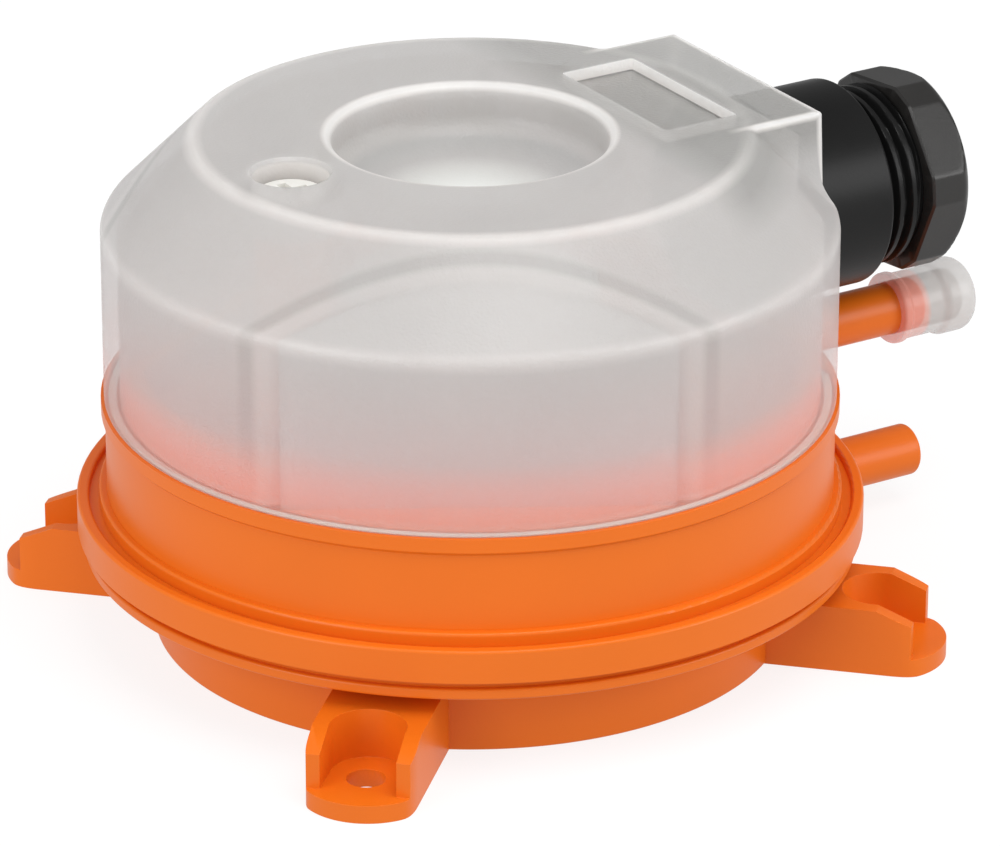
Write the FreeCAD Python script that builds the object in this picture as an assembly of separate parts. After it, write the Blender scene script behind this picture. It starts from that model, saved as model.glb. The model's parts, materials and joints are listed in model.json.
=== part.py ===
import FreeCAD, Part
import math
import os

from FreeCAD import Placement, Rotation, Vector

# Differential pressure switch for air, all sizes in millimetres.
# Origin: centre of the underside of the base, on the round axis.
# +Z points up, +X points along the cable gland and the two hose stubs.

# Base housing: the lower pressure chamber and the four feet
base_flange_w = 7.8
base_floor_t = 2.2
base_wall_t = 2.4
base_flange_z = 9.8
base_flange_inset = 0.7
base_flange_t = 1.25
base_core_margin = 6.8
base_core_depth = 0.7
base_hub_r = 7.0
base_rib_count = 8
base_rib_w = 1.4

# Feet
foot_count = 4
foot_first_deg = 45.0
foot_hole_r = 2.15
foot_hole_pcd = 96.0
foot_half_w = 6.0
foot_end_r = 7.6
foot_tip_reach = 6.6
foot_plate_t = 2.1
foot_pocket_r = 4.2
foot_pocket_inset = 1.0
foot_wall_top_z = 7.8
foot_wall_end_drop = 1.7
foot_slope_start_in = 0.4
foot_wall_end_reach = 3.6

# Upper housing: rim, trough, wall, deck and spigot
seam_gap = 1.05
trough_w = 1.1
rim_w = 1.4
rim_h = 3.8
rim_edge_r = 0.35
trough_depth = 0.7
step_w = 0.9
step_h = 0.9
cover_overhang = 0.1
upper_wall_t = 2.0
ledge_z = 27.6
lip_out = 0.45
lip_h = 2.0
deck_t = 1.6
spigot_h = 4.4
spigot_t = 2.0
spigot_gap = 0.4
weld_in = 1.4
weld_w = 0.9

# Hose stubs
port_r = 3.05
port_bore_r = 1.5
port_reach = 16.2
port_tip_edge_r = 0.5
port_stop_r = 3.75
port_stop_reach = 0.6
lower_port_z = 6.25
upper_port_drop = 2.75

# Diaphragm
diaphragm_t = 0.5
diaphragm_rim_out_gap = 0.4
diaphragm_roll_r = 1.9
diaphragm_roll_gap = 0.5
stroke = 1.0

# Diaphragm plate with its spring cup and off-centre pin
plate_roll_gap = 1.7
plate_t = 1.4
plate_rib_h = 1.6
plate_rib_w = 1.0
plate_rib_count = 6
cup_r = 7.0
cup_wall_t = 1.0
cup_h = 3.0
pin_x = 3.0
pin_y = 13.0
pin_r = 1.3

# Central tower on the deck
tower_r = 9.5
tower_bore_r = 7.6
dial_gap = 1.5
tower_top_t = 2.0
key_half_w = 1.3
key_depth = 1.0
key_gap = 0.3
gusset_t = 1.6
gusset_reach = 5.5
gusset_h = 7.0
seal_pocket_depth = 1.4
running_gap = 0.05

# Range spring and its retainer
spring_wire_r = 0.5
spring_mean_r = 5.2
spring_turns = 6.5
retainer_depth = 9.0
retainer_t = 3.0
retainer_boss_h = 1.4
bore_gap = 0.3

# Setting dial on its threaded spindle
spindle_r = 3.0
spindle_depth = 14.8
clip_groove_depth = 0.5
clip_t = 0.6
clip_r = 5.0
clip_gap = 0.3
dial_r = 12.5
dial_skirt_t = 2.2
dial_skirt_gap = 0.6
dial_hub_r = 4.5
dial_grip_r = 8.6
dial_grip_h = 4.0
dial_scallop_count = 18
dial_scallop_r = 0.8
dial_slot_w = 1.6
dial_slot_depth = 1.4
scale_plate_r = 14.5
scale_plate_t = 1.0

# Spindle seal
ring_seal_wire_r = 0.65
ring_seal_mean_r = 3.8

# Grommet that guides and seals the off-centre pin
grommet_neck_r = 2.2
grommet_flange_r = 2.8
grommet_flange_t = 0.6

# Snap switch, its bracket, lever and terminals
switch_l = 27.8
switch_w = 10.3
switch_h = 15.9
switch_x = 5.0
bracket_gap = 6.1
bracket_t = 2.0
bracket_h = 15.0
bracket_corner_r = 2.5
bracket_window_half_w = 3.4
bracket_window_h = 4.4
switch_gap = 1.7
switch_hole_pitch = 22.2
switch_hole_up = 2.8
switch_screw_r = 1.5
switch_screw_head_r = 2.7
switch_screw_head_h = 1.9
plunger_r = 1.2
plunger_socket_depth = 5.0
plunger_in = 4.0
lever_w = 4.4
lever_t = 0.6
lever_deck_gap = 2.5
lever_pin_r = 0.75
lever_eye_r = 1.35
lever_pivot_gap = 2.6
lever_side_gap = 0.3
lever_gap = 0.1
ear_t = 1.4
ear_r = 1.9
tab_w = 6.3
tab_t = 0.8
tab_len = 6.4
tab_root = 2.0
tab_pitch = 9.2
tab_hole_r = 0.8

# Cover
cover_r = 41.0
cover_t = 1.8
cone_h = 10.2
tab_gap = 1.6
cone_w = 10.1
cover_edge_r = 1.2
gland_face_cut = 4.3
block_half_w = 15.0
block_top_t = 3.0
block_side_t = 1.8
well_r = 15.3
well_lip_r = 1.2
well_depth = 8.0
well_side_depth = 3.4
window_x0 = 18.7
window_x1 = 28.2
window_half_w = 10.7
window_depth = 1.55
web_inset = 8.1
web_t = 1.3
web_deg = 120.0
screw_well_inset = 8.0
screw_well_r = 4.25
screw_well_wall = 1.8
screw_sink = 2.1

# Cover screw and its post
screw_head_r = 3.9
screw_head_h = 2.4
screw_r = 1.9
screw_len = 16.0
screw_cross_w = 1.1
screw_cross_len = 4.4
screw_cross_depth = 1.5
well_floor_t = 1.6
post_gap = 0.4
post_top_r = 3.9
post_base_r = 4.6
post_hole_depth = 17.0
post_rib_t = 1.4
post_rib_reach = 8.0
post_rib_h = 16.0

# Gasket in the ledge
gasket_w = 0.9
gasket_t = 0.9
gasket_inset = 0.5

# Cable gland
gland_drop = 15.7
gland_body_r = 12.0
gland_body_l = 12.5
gland_stub_r = 7.9
gland_stub_l = 7.2
gland_hole_gap = 0.15
gland_bore_r = 5.6
gland_thread_r = 9.5
gland_thread_l = 8.6
gland_ridge_r = 10.5
gland_ridge_count = 3
gland_ridge_pitch = 1.8
gland_ridge_crest_w = 0.5
gland_ridge_root_w = 1.4
gland_seat_r = 7.4
gland_seat_depth = 7.4
gasket_ring_r = 10.4
gasket_ring_t = 1.2
locknut_af = 22.0
locknut_t = 3.7
locknut_gap = 1.0
notch_half_w = 8.5
cable_r = 4.0
seal_l = 7.0
slip_washer_t = 0.6
slip_washer_hole_r = 4.7
slip_gap = 0.3
nut_back_gap = 5.6
nut_flat_l = 4.2
nut_dome_l = 2.2
nut_corner_r = 11.77
nut_corner_half_deg = 7.8
nut_phase_deg = 54.2
nut_end_r = 8.0
nut_hole_r = 5.1
nut_thread_gap = 0.1

# Port cap
cap_grip = 3.7
cap_r = 3.95
cap_lip_r = 4.25
cap_lip_l = 0.9
cap_bulb_r = 4.4
cap_bulb_reach = 2.7
cap_end_reach = 6.8
cap_end_t = 1.6
cap_end_edge_r = 1.6

# Radii that follow from the sizes above, from the cover down to the plate
cover_in_r = cover_r - cover_t
cover_top_r = cover_r - cone_w
upper_wall_r = cover_r - cover_overhang
upper_chamber_r = upper_wall_r - upper_wall_t
rim_r = upper_wall_r + step_w + trough_w + rim_w
base_flange_r = rim_r - base_flange_inset
base_r = base_flange_r - base_flange_w
chamber_r = base_r - base_wall_t
base_core_r = base_r - base_core_margin
weld_out_r = rim_r - weld_in
diaphragm_roll_mid_r = chamber_r - diaphragm_roll_r - diaphragm_roll_gap
plate_r = diaphragm_roll_mid_r - diaphragm_roll_r - plate_roll_gap

# Levels, from the table up to the top of the cover
base_top_z = base_flange_z + base_flange_t
upper_z = base_top_z + seam_gap
rim_top_z = upper_z + rim_h
disc_z = base_top_z + diaphragm_roll_r - diaphragm_t / 2
plate_z = disc_z + diaphragm_t
cup_floor_z = plate_z + plate_t
deck_z = ledge_z - deck_t
spigot_top_z = ledge_z + spigot_h
upper_port_z = ledge_z - upper_port_drop
lever_z = ledge_z + lever_deck_gap
lever_top_z = lever_z + lever_t
lever_pivot_z = lever_z + lever_t / 2
switch_z = lever_top_z + switch_gap
cover_top_z = switch_z + switch_h + tab_len + tab_gap + cover_t
cone_z = cover_top_z - cone_h
gland_z = cover_top_z - gland_drop
well_bottom_z = cover_top_z - well_depth - cover_t
scale_plate_z = well_bottom_z - dial_gap - dial_grip_h - dial_skirt_t - dial_skirt_gap
tower_top_z = scale_plate_z - scale_plate_t
retainer_z = tower_top_z - retainer_depth
spindle_bottom_z = tower_top_z - spindle_depth
screw_seat_z = cover_top_z - screw_sink - screw_head_h
post_top_z = screw_seat_z - well_floor_t - post_gap

# Places along X and Y
foot_hole_x = foot_hole_pcd / 2
foot_tip_x = foot_hole_x + foot_tip_reach
foot_pocket_x = foot_hole_x - foot_pocket_inset
foot_slope_start_x = foot_hole_x - foot_slope_start_in
foot_wall_end_x = foot_hole_x + foot_wall_end_reach
port_tip_x = rim_r + port_reach
port_stop_x = rim_r + port_stop_reach
cap_mouth_x = port_tip_x - cap_grip
cap_bulb_x = port_tip_x + cap_bulb_reach
cap_end_x = port_tip_x + cap_end_reach
bracket_y = tower_r + bracket_gap
switch_y = bracket_y + bracket_t
switch_mid_y = switch_y + switch_w / 2
lever_pivot_y = switch_y + switch_w + lever_pivot_gap
gland_face_x = cover_r - gland_face_cut
face_in_x = gland_face_x - cover_t
gland_front_x = gland_face_x + gland_body_l
gland_tip_x = gland_front_x + gland_thread_l
nut_x = gland_front_x + nut_back_gap
web_d = cover_r - web_inset
web_in_d = web_d - web_t
screw_well_x = screw_well_inset - cover_top_r
deg = math.pi / 180

if not os.path.isdir("parts"):
    os.makedirs("parts", exist_ok=True)


def cylinder(r, z0, z1, x=0.0, y=0.0):
    return Part.makeCylinder(r, z1 - z0, Vector(x, y, z0))


def tube(r_out, r_in, z0, z1, x=0.0, y=0.0):
    return cylinder(r_out, z0, z1, x, y).cut(cylinder(r_in, z0, z1, x, y))


def bar_x(r, x0, x1, y=0.0, z=0.0):
    return Part.makeCylinder(r, x1 - x0, Vector(x0, y, z), Vector(1, 0, 0))


def bar_y(r, y0, y1, x=0.0, z=0.0):
    return Part.makeCylinder(r, y1 - y0, Vector(x, y0, z), Vector(0, 1, 0))


def block(x0, x1, y0, y1, z0, z1):
    return Part.makeBox(x1 - x0, y1 - y0, z1 - z0, Vector(x0, y0, z0))


def outline_face(points):
    return Part.Face(Part.makePolygon(points + [points[0]]))


def turned(profile, x=0.0, y=0.0):
    # profile is a list of (radius, height), turned about the vertical axis
    face = outline_face([Vector(r, 0, z) for r, z in profile])
    solid = face.revolve(Vector(0, 0, 0), Vector(0, 0, 1), 360)
    solid.translate(Vector(x, y, 0))
    return solid


def turned_x(profile, z=0.0):
    # profile is a list of (place along X, radius), turned about the X direction
    face = outline_face([Vector(x, r, 0) for x, r in profile])
    solid = face.revolve(Vector(0, 0, 0), Vector(1, 0, 0), 360)
    solid.translate(Vector(0, 0, z))
    return solid


def spun(shape, degrees):
    copy = shape.copy()
    copy.rotate(Vector(0, 0, 0), Vector(0, 0, 1), degrees)
    return copy


def joined(first, *others):
    return first.fuse(list(others)).removeSplitter()


def beyond(distance, degrees):
    # all space further than distance from the axis, along one direction
    reach = 4 * cover_r
    return spun(block(distance, distance + reach, -reach, reach, -reach, reach), degrees)


def outline_disc(r, face_x, z0, z1, chord=None):
    # a disc cut flat at the gland face and, where chord is given, at the two webs
    disc = cylinder(r, z0, z1).cut(beyond(face_x, 0))
    if chord is not None:
        for side in (-web_deg, web_deg):
            disc = disc.cut(beyond(chord, side))
    return disc


def edges_at(shape, z, r=None, tolerance=0.02):
    # round edges that lie in one level, of one radius where it is given
    found = []
    for edge in shape.Edges:
        level = edge.BoundBox.ZMin > z - tolerance and edge.BoundBox.ZMax < z + tolerance
        if not level or not isinstance(edge.Curve, Part.Circle):
            continue
        if r is None or abs(edge.Curve.Radius - r) < tolerance:
            found.append(edge)
    return found


def foot():
    # one foot, pointing along +X: a plate with a curved end and a pocket for the screw head
    root_x = base_r - base_wall_t / 2
    side = [
        Vector(root_x, -foot_half_w, 0),
        Vector(foot_tip_x, -foot_half_w, 0),
        Vector(foot_tip_x, -foot_half_w, foot_plate_t),
        Vector(foot_wall_end_x, -foot_half_w, foot_plate_t),
        Vector(foot_wall_end_x, -foot_half_w, foot_wall_top_z - foot_wall_end_drop),
        Vector(foot_slope_start_x, -foot_half_w, foot_wall_top_z),
        Vector(root_x, -foot_half_w, foot_wall_top_z),
    ]
    body = outline_face(side).extrude(Vector(0, 2 * foot_half_w, 0))
    end_x = foot_tip_x - foot_end_r
    plan = block(root_x, end_x, -foot_half_w, foot_half_w, 0, foot_wall_top_z)
    plan = plan.fuse(cylinder(foot_end_r, 0, foot_wall_top_z, end_x))
    body = body.common(plan)
    pocket = cylinder(foot_pocket_r, foot_plate_t, foot_wall_top_z, foot_pocket_x)
    mouth = block(
        foot_pocket_x, foot_tip_x, -foot_pocket_r, foot_pocket_r, foot_plate_t, foot_wall_top_z
    )
    hole = cylinder(foot_hole_r, 0, foot_plate_t, foot_hole_x)
    return body.cut([pocket, mouth, hole])


def port_stub(root_x, z):
    stub = bar_x(port_r, root_x, port_tip_x, 0, z)
    tip = [e for e in stub.Edges if abs(e.CenterOfMass.x - port_tip_x) < 0.01]
    return stub.makeFillet(port_tip_edge_r, tip)


def base_housing():
    profile = [
        (0, 0),
        (base_r, 0),
        (base_r, base_flange_z),
        (base_flange_r, base_flange_z),
        (base_flange_r, base_top_z),
        (chamber_r, base_top_z),
        (chamber_r, base_floor_t),
        (0, base_floor_t),
    ]
    shell = turned(profile)
    feet = [spun(foot(), foot_first_deg + i * 360 / foot_count) for i in range(foot_count)]
    shell = joined(shell, *feet)
    hose_stop = bar_x(port_stop_r, chamber_r, port_stop_x, 0, lower_port_z)
    shell = joined(shell, hose_stop, port_stub(chamber_r, lower_port_z))
    shell = shell.cut(cylinder(chamber_r, base_floor_t, base_top_z))
    shell = shell.cut(bar_x(port_bore_r, chamber_r - 1, port_tip_x, 0, lower_port_z))
    core = tube(base_core_r, base_hub_r, 0, base_core_depth)
    for i in range(base_rib_count):
        rib = block(0, base_r, -base_rib_w / 2, base_rib_w / 2, 0, base_core_depth)
        core = core.cut(spun(rib, i * 360 / base_rib_count))
    return shell.cut(core)


def upper_shell():
    step_r = upper_wall_r + step_w
    rim_in_r = rim_r - rim_w
    step_z = rim_top_z + step_h
    profile = [
        (upper_chamber_r, upper_z),
        (rim_r, upper_z),
        (rim_r, rim_top_z),
        (rim_in_r, rim_top_z),
        (rim_in_r, rim_top_z - trough_depth),
        (step_r, rim_top_z - trough_depth),
        (step_r, step_z),
        (upper_wall_r, step_z),
        (upper_wall_r, ledge_z - lip_h),
        (upper_wall_r + lip_out, ledge_z - lip_h + lip_out),
        (upper_wall_r + lip_out, ledge_z),
        (0, ledge_z),
        (0, deck_z),
        (upper_chamber_r, deck_z),
    ]
    shell = turned(profile)
    rims = edges_at(shell, rim_top_z, rim_r) + edges_at(shell, rim_top_z, rim_in_r)
    rims += edges_at(shell, step_z, step_r)
    return shell.makeFillet(rim_edge_r, rims)


def spigot():
    out = spigot_gap
    inner = spigot_gap + spigot_t
    solid = outline_disc(cover_in_r - out, face_in_x - out, ledge_z, spigot_top_z, web_in_d - out)
    hollow = outline_disc(
        cover_in_r - inner, face_in_x - inner, ledge_z, spigot_top_z, web_in_d - inner
    )
    notch_z = gland_z - locknut_af / 2 - locknut_gap
    notch = block(0, cover_r, -notch_half_w, notch_half_w, notch_z, spigot_top_z)
    return solid.cut([hollow, notch])


def tower():
    solid = cylinder(tower_r, ledge_z, tower_top_z)
    for degrees in (0, 180, 270):
        points = [
            Vector(tower_r - 1, -gusset_t / 2, ledge_z),
            Vector(tower_r + gusset_reach, -gusset_t / 2, ledge_z),
            Vector(tower_r - 1, -gusset_t / 2, ledge_z + gusset_h),
        ]
        gusset = outline_face(points).extrude(Vector(0, gusset_t, 0))
        solid = solid.fuse(spun(gusset, degrees))
    return solid


def tower_hollow():
    roof_z = tower_top_z - tower_top_t
    bore = cylinder(tower_bore_r, deck_z, roof_z)
    reach = tower_bore_r + key_depth
    keys = block(-key_half_w, key_half_w, -reach, reach, deck_z, roof_z)
    hole = cylinder(spindle_r + 2 * running_gap, roof_z, tower_top_z)
    pocket_r = ring_seal_mean_r + ring_seal_wire_r + 2 * running_gap
    pocket = cylinder(pocket_r, tower_top_z - seal_pocket_depth, tower_top_z)
    return bore.fuse([keys, hole, pocket])


def screw_post():
    post = Part.makeCone(post_base_r, post_top_r, post_top_z - ledge_z, Vector(screw_well_x, 0, ledge_z))
    for degrees in (90, 270):
        points = [
            Vector(0, -post_rib_t / 2, ledge_z),
            Vector(post_rib_reach, -post_rib_t / 2, ledge_z),
            Vector(post_top_r - 1, -post_rib_t / 2, ledge_z + post_rib_h),
            Vector(0, -post_rib_t / 2, ledge_z + post_rib_h),
        ]
        rib = spun(outline_face(points).extrude(Vector(0, post_rib_t, 0)), degrees)
        rib.translate(Vector(screw_well_x, 0, 0))
        post = post.fuse(rib)
    hole = cylinder(screw_r + running_gap, post_top_z - post_hole_depth, post_top_z, screw_well_x)
    return post.cut(hole)


def switch_hole_places():
    half = switch_hole_pitch / 2
    return [(switch_x - half, switch_z + switch_hole_up), (switch_x + half, switch_z + switch_hole_up)]


def switch_bracket():
    half = switch_l / 2
    y1 = bracket_y + bracket_t
    plate = block(switch_x - half, switch_x + half, bracket_y, y1, ledge_z, ledge_z + bracket_h)
    corners = [e for e in plate.Edges if e.BoundBox.YLength > bracket_t / 2]
    corners = [e for e in corners if e.BoundBox.ZMin > ledge_z + 1 and e.BoundBox.XLength < 0.1]
    plate = plate.makeFillet(bracket_corner_r, corners)
    window = block(
        pin_x - bracket_window_half_w,
        pin_x + bracket_window_half_w,
        bracket_y,
        y1,
        ledge_z,
        ledge_z + bracket_window_h,
    )
    holes = [bar_y(switch_screw_r + running_gap, bracket_y, y1, x, z) for x, z in switch_hole_places()]
    return plate.cut([window] + holes)


def lever_ears():
    # two ears on the deck that carry the lever's pivot pin
    ears = []
    inner = lever_w / 2 + lever_side_gap
    for x0 in (pin_x - inner - ear_t, pin_x + inner):
        foot_block = block(
            x0, x0 + ear_t, lever_pivot_y - ear_r, lever_pivot_y + ear_r, ledge_z, lever_pivot_z
        )
        eye = bar_x(ear_r, x0, x0 + ear_t, lever_pivot_y, lever_pivot_z)
        hole = bar_x(lever_pin_r + running_gap, x0, x0 + ear_t, lever_pivot_y, lever_pivot_z)
        ears.append(foot_block.fuse(eye).cut(hole))
    return ears


def upper_housing():
    shell = joined(upper_shell(), spigot(), tower(), screw_post(), switch_bracket(), *lever_ears())
    weld = tube(weld_out_r, weld_out_r - weld_w, base_top_z, upper_z)
    stub = port_stub(upper_wall_r - upper_wall_t / 2, upper_port_z)
    shell = joined(shell, weld, stub)
    bore = bar_x(port_bore_r, upper_chamber_r - 1.5, port_tip_x, 0, upper_port_z)
    grommet_hole = cylinder(grommet_neck_r, deck_z, ledge_z, pin_x, pin_y)
    return shell.cut([tower_hollow(), bore, grommet_hole, gasket_ring(gasket_t)])


def gasket_ring(depth):
    # runs under the cover's skin, flat along the gland face
    out_r = cover_r - gasket_inset
    out_x = gland_face_x - gasket_inset
    outer = outline_disc(out_r, out_x, ledge_z - depth, ledge_z)
    inner = outline_disc(out_r - gasket_w, out_x - gasket_w, ledge_z - depth, ledge_z)
    return outer.cut(inner)


def diaphragm():
    # clamped rim, one upward roll and a raised centre disc under the plate
    rim_out = weld_out_r - weld_w - diaphragm_rim_out_gap
    roll_out = diaphragm_roll_mid_r + diaphragm_roll_r
    outer_roll = diaphragm_roll_r + diaphragm_t / 2
    inner_roll = diaphragm_roll_r - diaphragm_t / 2
    rim = tube(rim_out, chamber_r, base_top_z, upper_z)
    ring = tube(chamber_r, roll_out, base_top_z, base_top_z + diaphragm_t)
    torus = Part.makeTorus(diaphragm_roll_mid_r, outer_roll, Vector(0, 0, base_top_z))
    torus = torus.cut(Part.makeTorus(diaphragm_roll_mid_r, inner_roll, Vector(0, 0, base_top_z)))
    roll = torus.common(tube(base_flange_r, diaphragm_roll_mid_r, base_top_z, plate_z))
    disc = cylinder(diaphragm_roll_mid_r, disc_z, plate_z)
    return joined(disc, roll, ring, rim)


def diaphragm_plate():
    plate = cylinder(plate_r, plate_z, cup_floor_z)
    cup = tube(cup_r, cup_r - cup_wall_t, cup_floor_z, cup_floor_z + cup_h)
    ribs = []
    for i in range(plate_rib_count):
        rib = block(
            cup_r - cup_wall_t / 2,
            plate_r - 2,
            -plate_rib_w / 2,
            plate_rib_w / 2,
            cup_floor_z,
            cup_floor_z + plate_rib_h,
        )
        ribs.append(spun(rib, (i + 0.5) * 360 / plate_rib_count))
    top_z = lever_z - lever_gap
    shaft = cylinder(pin_r, cup_floor_z, top_z - pin_r, pin_x, pin_y)
    dome = Part.makeSphere(pin_r, Vector(pin_x, pin_y, top_z - pin_r))
    root = Part.makeCone(2 * pin_r, pin_r, 3 * pin_r, Vector(pin_x, pin_y, cup_floor_z))
    return joined(plate, cup, shaft, dome, root, *ribs)


def range_spring():
    bottom = cup_floor_z + spring_wire_r
    top = retainer_z - spring_wire_r
    pitch = (top - bottom) / spring_turns
    path = Part.makeHelix(pitch, top - bottom, spring_mean_r)
    path.translate(Vector(0, 0, bottom))
    start = path.Edges[0].valueAt(path.Edges[0].FirstParameter)
    along = path.Edges[0].tangentAt(path.Edges[0].FirstParameter)
    ring = Part.Wire([Part.makeCircle(spring_wire_r, start, along)])
    coil = Part.Wire(path.Edges).makePipeShell([ring], True, True)
    return coil


def spring_retainer():
    disc = cylinder(tower_bore_r - bore_gap, retainer_z, retainer_z + retainer_t)
    boss_r = spring_mean_r - spring_wire_r - bore_gap
    boss = cylinder(boss_r, retainer_z - retainer_boss_h, retainer_z)
    half = key_half_w - key_gap
    reach = tower_bore_r + key_depth - key_gap
    keys = block(-half, half, -reach, reach, retainer_z, retainer_z + retainer_t)
    hole = cylinder(spindle_r + running_gap, retainer_z - retainer_boss_h, retainer_z + retainer_t)
    return joined(disc, boss, keys).cut(hole)


def clip_z():
    return tower_top_z - tower_top_t - clip_gap - clip_t


def setting_dial():
    skirt_z = tower_top_z + scale_plate_t + dial_skirt_gap
    grip_z = skirt_z + dial_skirt_t
    top_z = grip_z + dial_grip_h
    spindle = cylinder(spindle_r, spindle_bottom_z, skirt_z)
    groove_r = spindle_r - clip_groove_depth
    groove = tube(2 * spindle_r, groove_r, clip_z() - running_gap, clip_z() + clip_t + running_gap)
    spindle = spindle.cut(groove)
    hub = cylinder(dial_hub_r, tower_top_z + clip_gap, skirt_z)
    skirt = Part.makeCone(dial_r, dial_grip_r + 1.2, dial_skirt_t, Vector(0, 0, skirt_z))
    grip = cylinder(dial_grip_r, grip_z - 0.2, top_z)
    cuts = []
    for i in range(dial_scallop_count):
        angle = i * 2 * math.pi / dial_scallop_count
        x = (dial_grip_r + 0.2) * math.cos(angle)
        y = (dial_grip_r + 0.2) * math.sin(angle)
        cuts.append(cylinder(dial_scallop_r, grip_z, top_z, x, y))
    half_slot = dial_slot_w / 2
    cuts.append(block(-dial_grip_r, dial_grip_r, -half_slot, half_slot, top_z - dial_slot_depth, top_z))
    notch = block(dial_grip_r + 0.6, dial_r, -half_slot / 2, half_slot / 2, skirt_z + 0.8, grip_z)
    cuts.append(notch)
    return joined(spindle, hub, skirt, grip).cut(cuts)


def dial_clip():
    # open retaining ring in the spindle's groove
    groove_r = spindle_r - clip_groove_depth
    ring = tube(clip_r, groove_r, clip_z(), clip_z() + clip_t)
    mouth = block(0, 2 * clip_r, -groove_r * 0.8, groove_r * 0.8, clip_z(), clip_z() + clip_t)
    return ring.cut(mouth)


def spindle_seal():
    z = tower_top_z - seal_pocket_depth + ring_seal_wire_r
    return Part.makeTorus(ring_seal_mean_r, ring_seal_wire_r, Vector(0, 0, z))


def scale_plate():
    hole_r = dial_hub_r + 2 * clip_gap
    plate = tube(scale_plate_r, hole_r, tower_top_z, tower_top_z + scale_plate_t)
    return plate


def pin_grommet():
    neck = cylinder(grommet_neck_r, deck_z, ledge_z, pin_x, pin_y)
    above = cylinder(grommet_flange_r, ledge_z, ledge_z + grommet_flange_t, pin_x, pin_y)
    below = cylinder(grommet_flange_r, deck_z - grommet_flange_t, deck_z, pin_x, pin_y)
    hole = cylinder(
        pin_r + running_gap, deck_z - grommet_flange_t, ledge_z + grommet_flange_t, pin_x, pin_y
    )
    return joined(neck, above, below).cut(hole)


def microswitch_body():
    half = switch_l / 2
    body = block(
        switch_x - half,
        switch_x + half,
        switch_y,
        switch_y + switch_w,
        switch_z,
        switch_z + switch_h,
    )
    corners = [e for e in body.Edges if e.BoundBox.YLength > switch_w - 0.1]
    body = body.makeFillet(0.8, corners)
    holes = [
        bar_y(switch_screw_r + running_gap, switch_y, switch_y + switch_w, x, z)
        for x, z in switch_hole_places()
    ]
    socket = cylinder(
        plunger_r + running_gap, switch_z, switch_z + plunger_socket_depth, pin_x, switch_mid_y
    )
    seats = [tab_block(x, switch_z + switch_h - tab_root, switch_z + switch_h) for x in tab_places()]
    return body.cut(holes + [socket] + seats)


def microswitch_plunger():
    tip_z = lever_top_z + lever_gap
    rod = cylinder(plunger_r, tip_z + plunger_r, switch_z + plunger_in, pin_x, switch_mid_y)
    dome = Part.makeSphere(plunger_r, Vector(pin_x, switch_mid_y, tip_z + plunger_r))
    return joined(rod, dome)


def actuating_lever():
    x0 = pin_x - lever_w / 2
    y0 = pin_y - 2 * pin_r
    blade = block(x0, x0 + lever_w, y0, lever_pivot_y, lever_z, lever_top_z)
    nose = [e for e in blade.Edges if e.BoundBox.ZLength > lever_t / 2 and e.CenterOfMass.y < y0 + 0.1]
    blade = blade.makeFillet(1.2, nose)
    eye = bar_x(lever_eye_r, x0, x0 + lever_w, lever_pivot_y, lever_pivot_z)
    hole = bar_x(lever_pin_r + running_gap, x0, x0 + lever_w, lever_pivot_y, lever_pivot_z)
    return joined(blade, eye).cut(hole)


def lever_pivot_pin():
    reach = lever_w / 2 + lever_side_gap + ear_t
    return bar_x(lever_pin_r, pin_x - reach, pin_x + reach, lever_pivot_y, lever_pivot_z)


def tab_places():
    return [switch_x - tab_pitch, switch_x, switch_x + tab_pitch]


def tab_block(x, z0, z1):
    y0 = switch_mid_y - tab_t / 2
    return block(x - tab_w / 2, x + tab_w / 2, y0, y0 + tab_t, z0, z1)


def terminal_tab(x):
    # flat push-on tab with chamfered end corners and a locking hole
    z1 = switch_z + switch_h + tab_len
    tab = tab_block(x, switch_z + switch_h - tab_root, z1)
    ends = [e for e in tab.Edges if e.BoundBox.YLength > tab_t / 2 and e.CenterOfMass.z > z1 - 0.1]
    ends = [e for e in ends if e.BoundBox.XLength < 0.1]
    tab = tab.makeChamfer(1.0, ends)
    hole = bar_y(tab_hole_r, switch_mid_y - tab_t, switch_mid_y + tab_t, x, z1 - tab_len / 2)
    return tab.cut(hole)


def switch_screws():
    screws = []
    face_y = switch_y + switch_w
    for x, z in switch_hole_places():
        shank = bar_y(switch_screw_r, bracket_y - 0.8, face_y, x, z)
        head = bar_y(switch_screw_head_r, face_y, face_y + switch_screw_head_h, x, z)
        top = [e for e in head.Edges if e.CenterOfMass.y > face_y + switch_screw_head_h - 0.01]
        head = head.makeFillet(0.7, top)
        slot = block(
            x - switch_screw_head_r,
            x + switch_screw_head_r,
            face_y + switch_screw_head_h - 0.9,
            face_y + switch_screw_head_h,
            z - 0.35,
            z + 0.35,
        )
        screws.append(joined(shank, head).cut(slot))
    return Part.makeCompound(screws)


def well_profile(wall):
    # the dished central well, grown outwards by a wall thickness
    top = cover_top_z
    r = well_r + wall
    floor_z = top - well_depth - wall
    side_z = top - well_side_depth
    arc = Part.Arc(
        Vector(r, 0, side_z),
        Vector(r * 0.74, 0, floor_z + (side_z - floor_z) * 0.30),
        Vector(r * 0.25, 0, floor_z),
    ).toShape()
    lines = [
        Part.makeLine(Vector(0, 0, floor_z), Vector(0, 0, top)),
        Part.makeLine(Vector(0, 0, top), Vector(r, 0, top)),
        Part.makeLine(Vector(r, 0, top), Vector(r, 0, side_z)),
        arc,
        Part.makeLine(Vector(r * 0.25, 0, floor_z), Vector(0, 0, floor_z)),
    ]
    return Part.Face(Part.Wire(lines)).revolve(Vector(0, 0, 0), Vector(0, 0, 1), 360)


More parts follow.
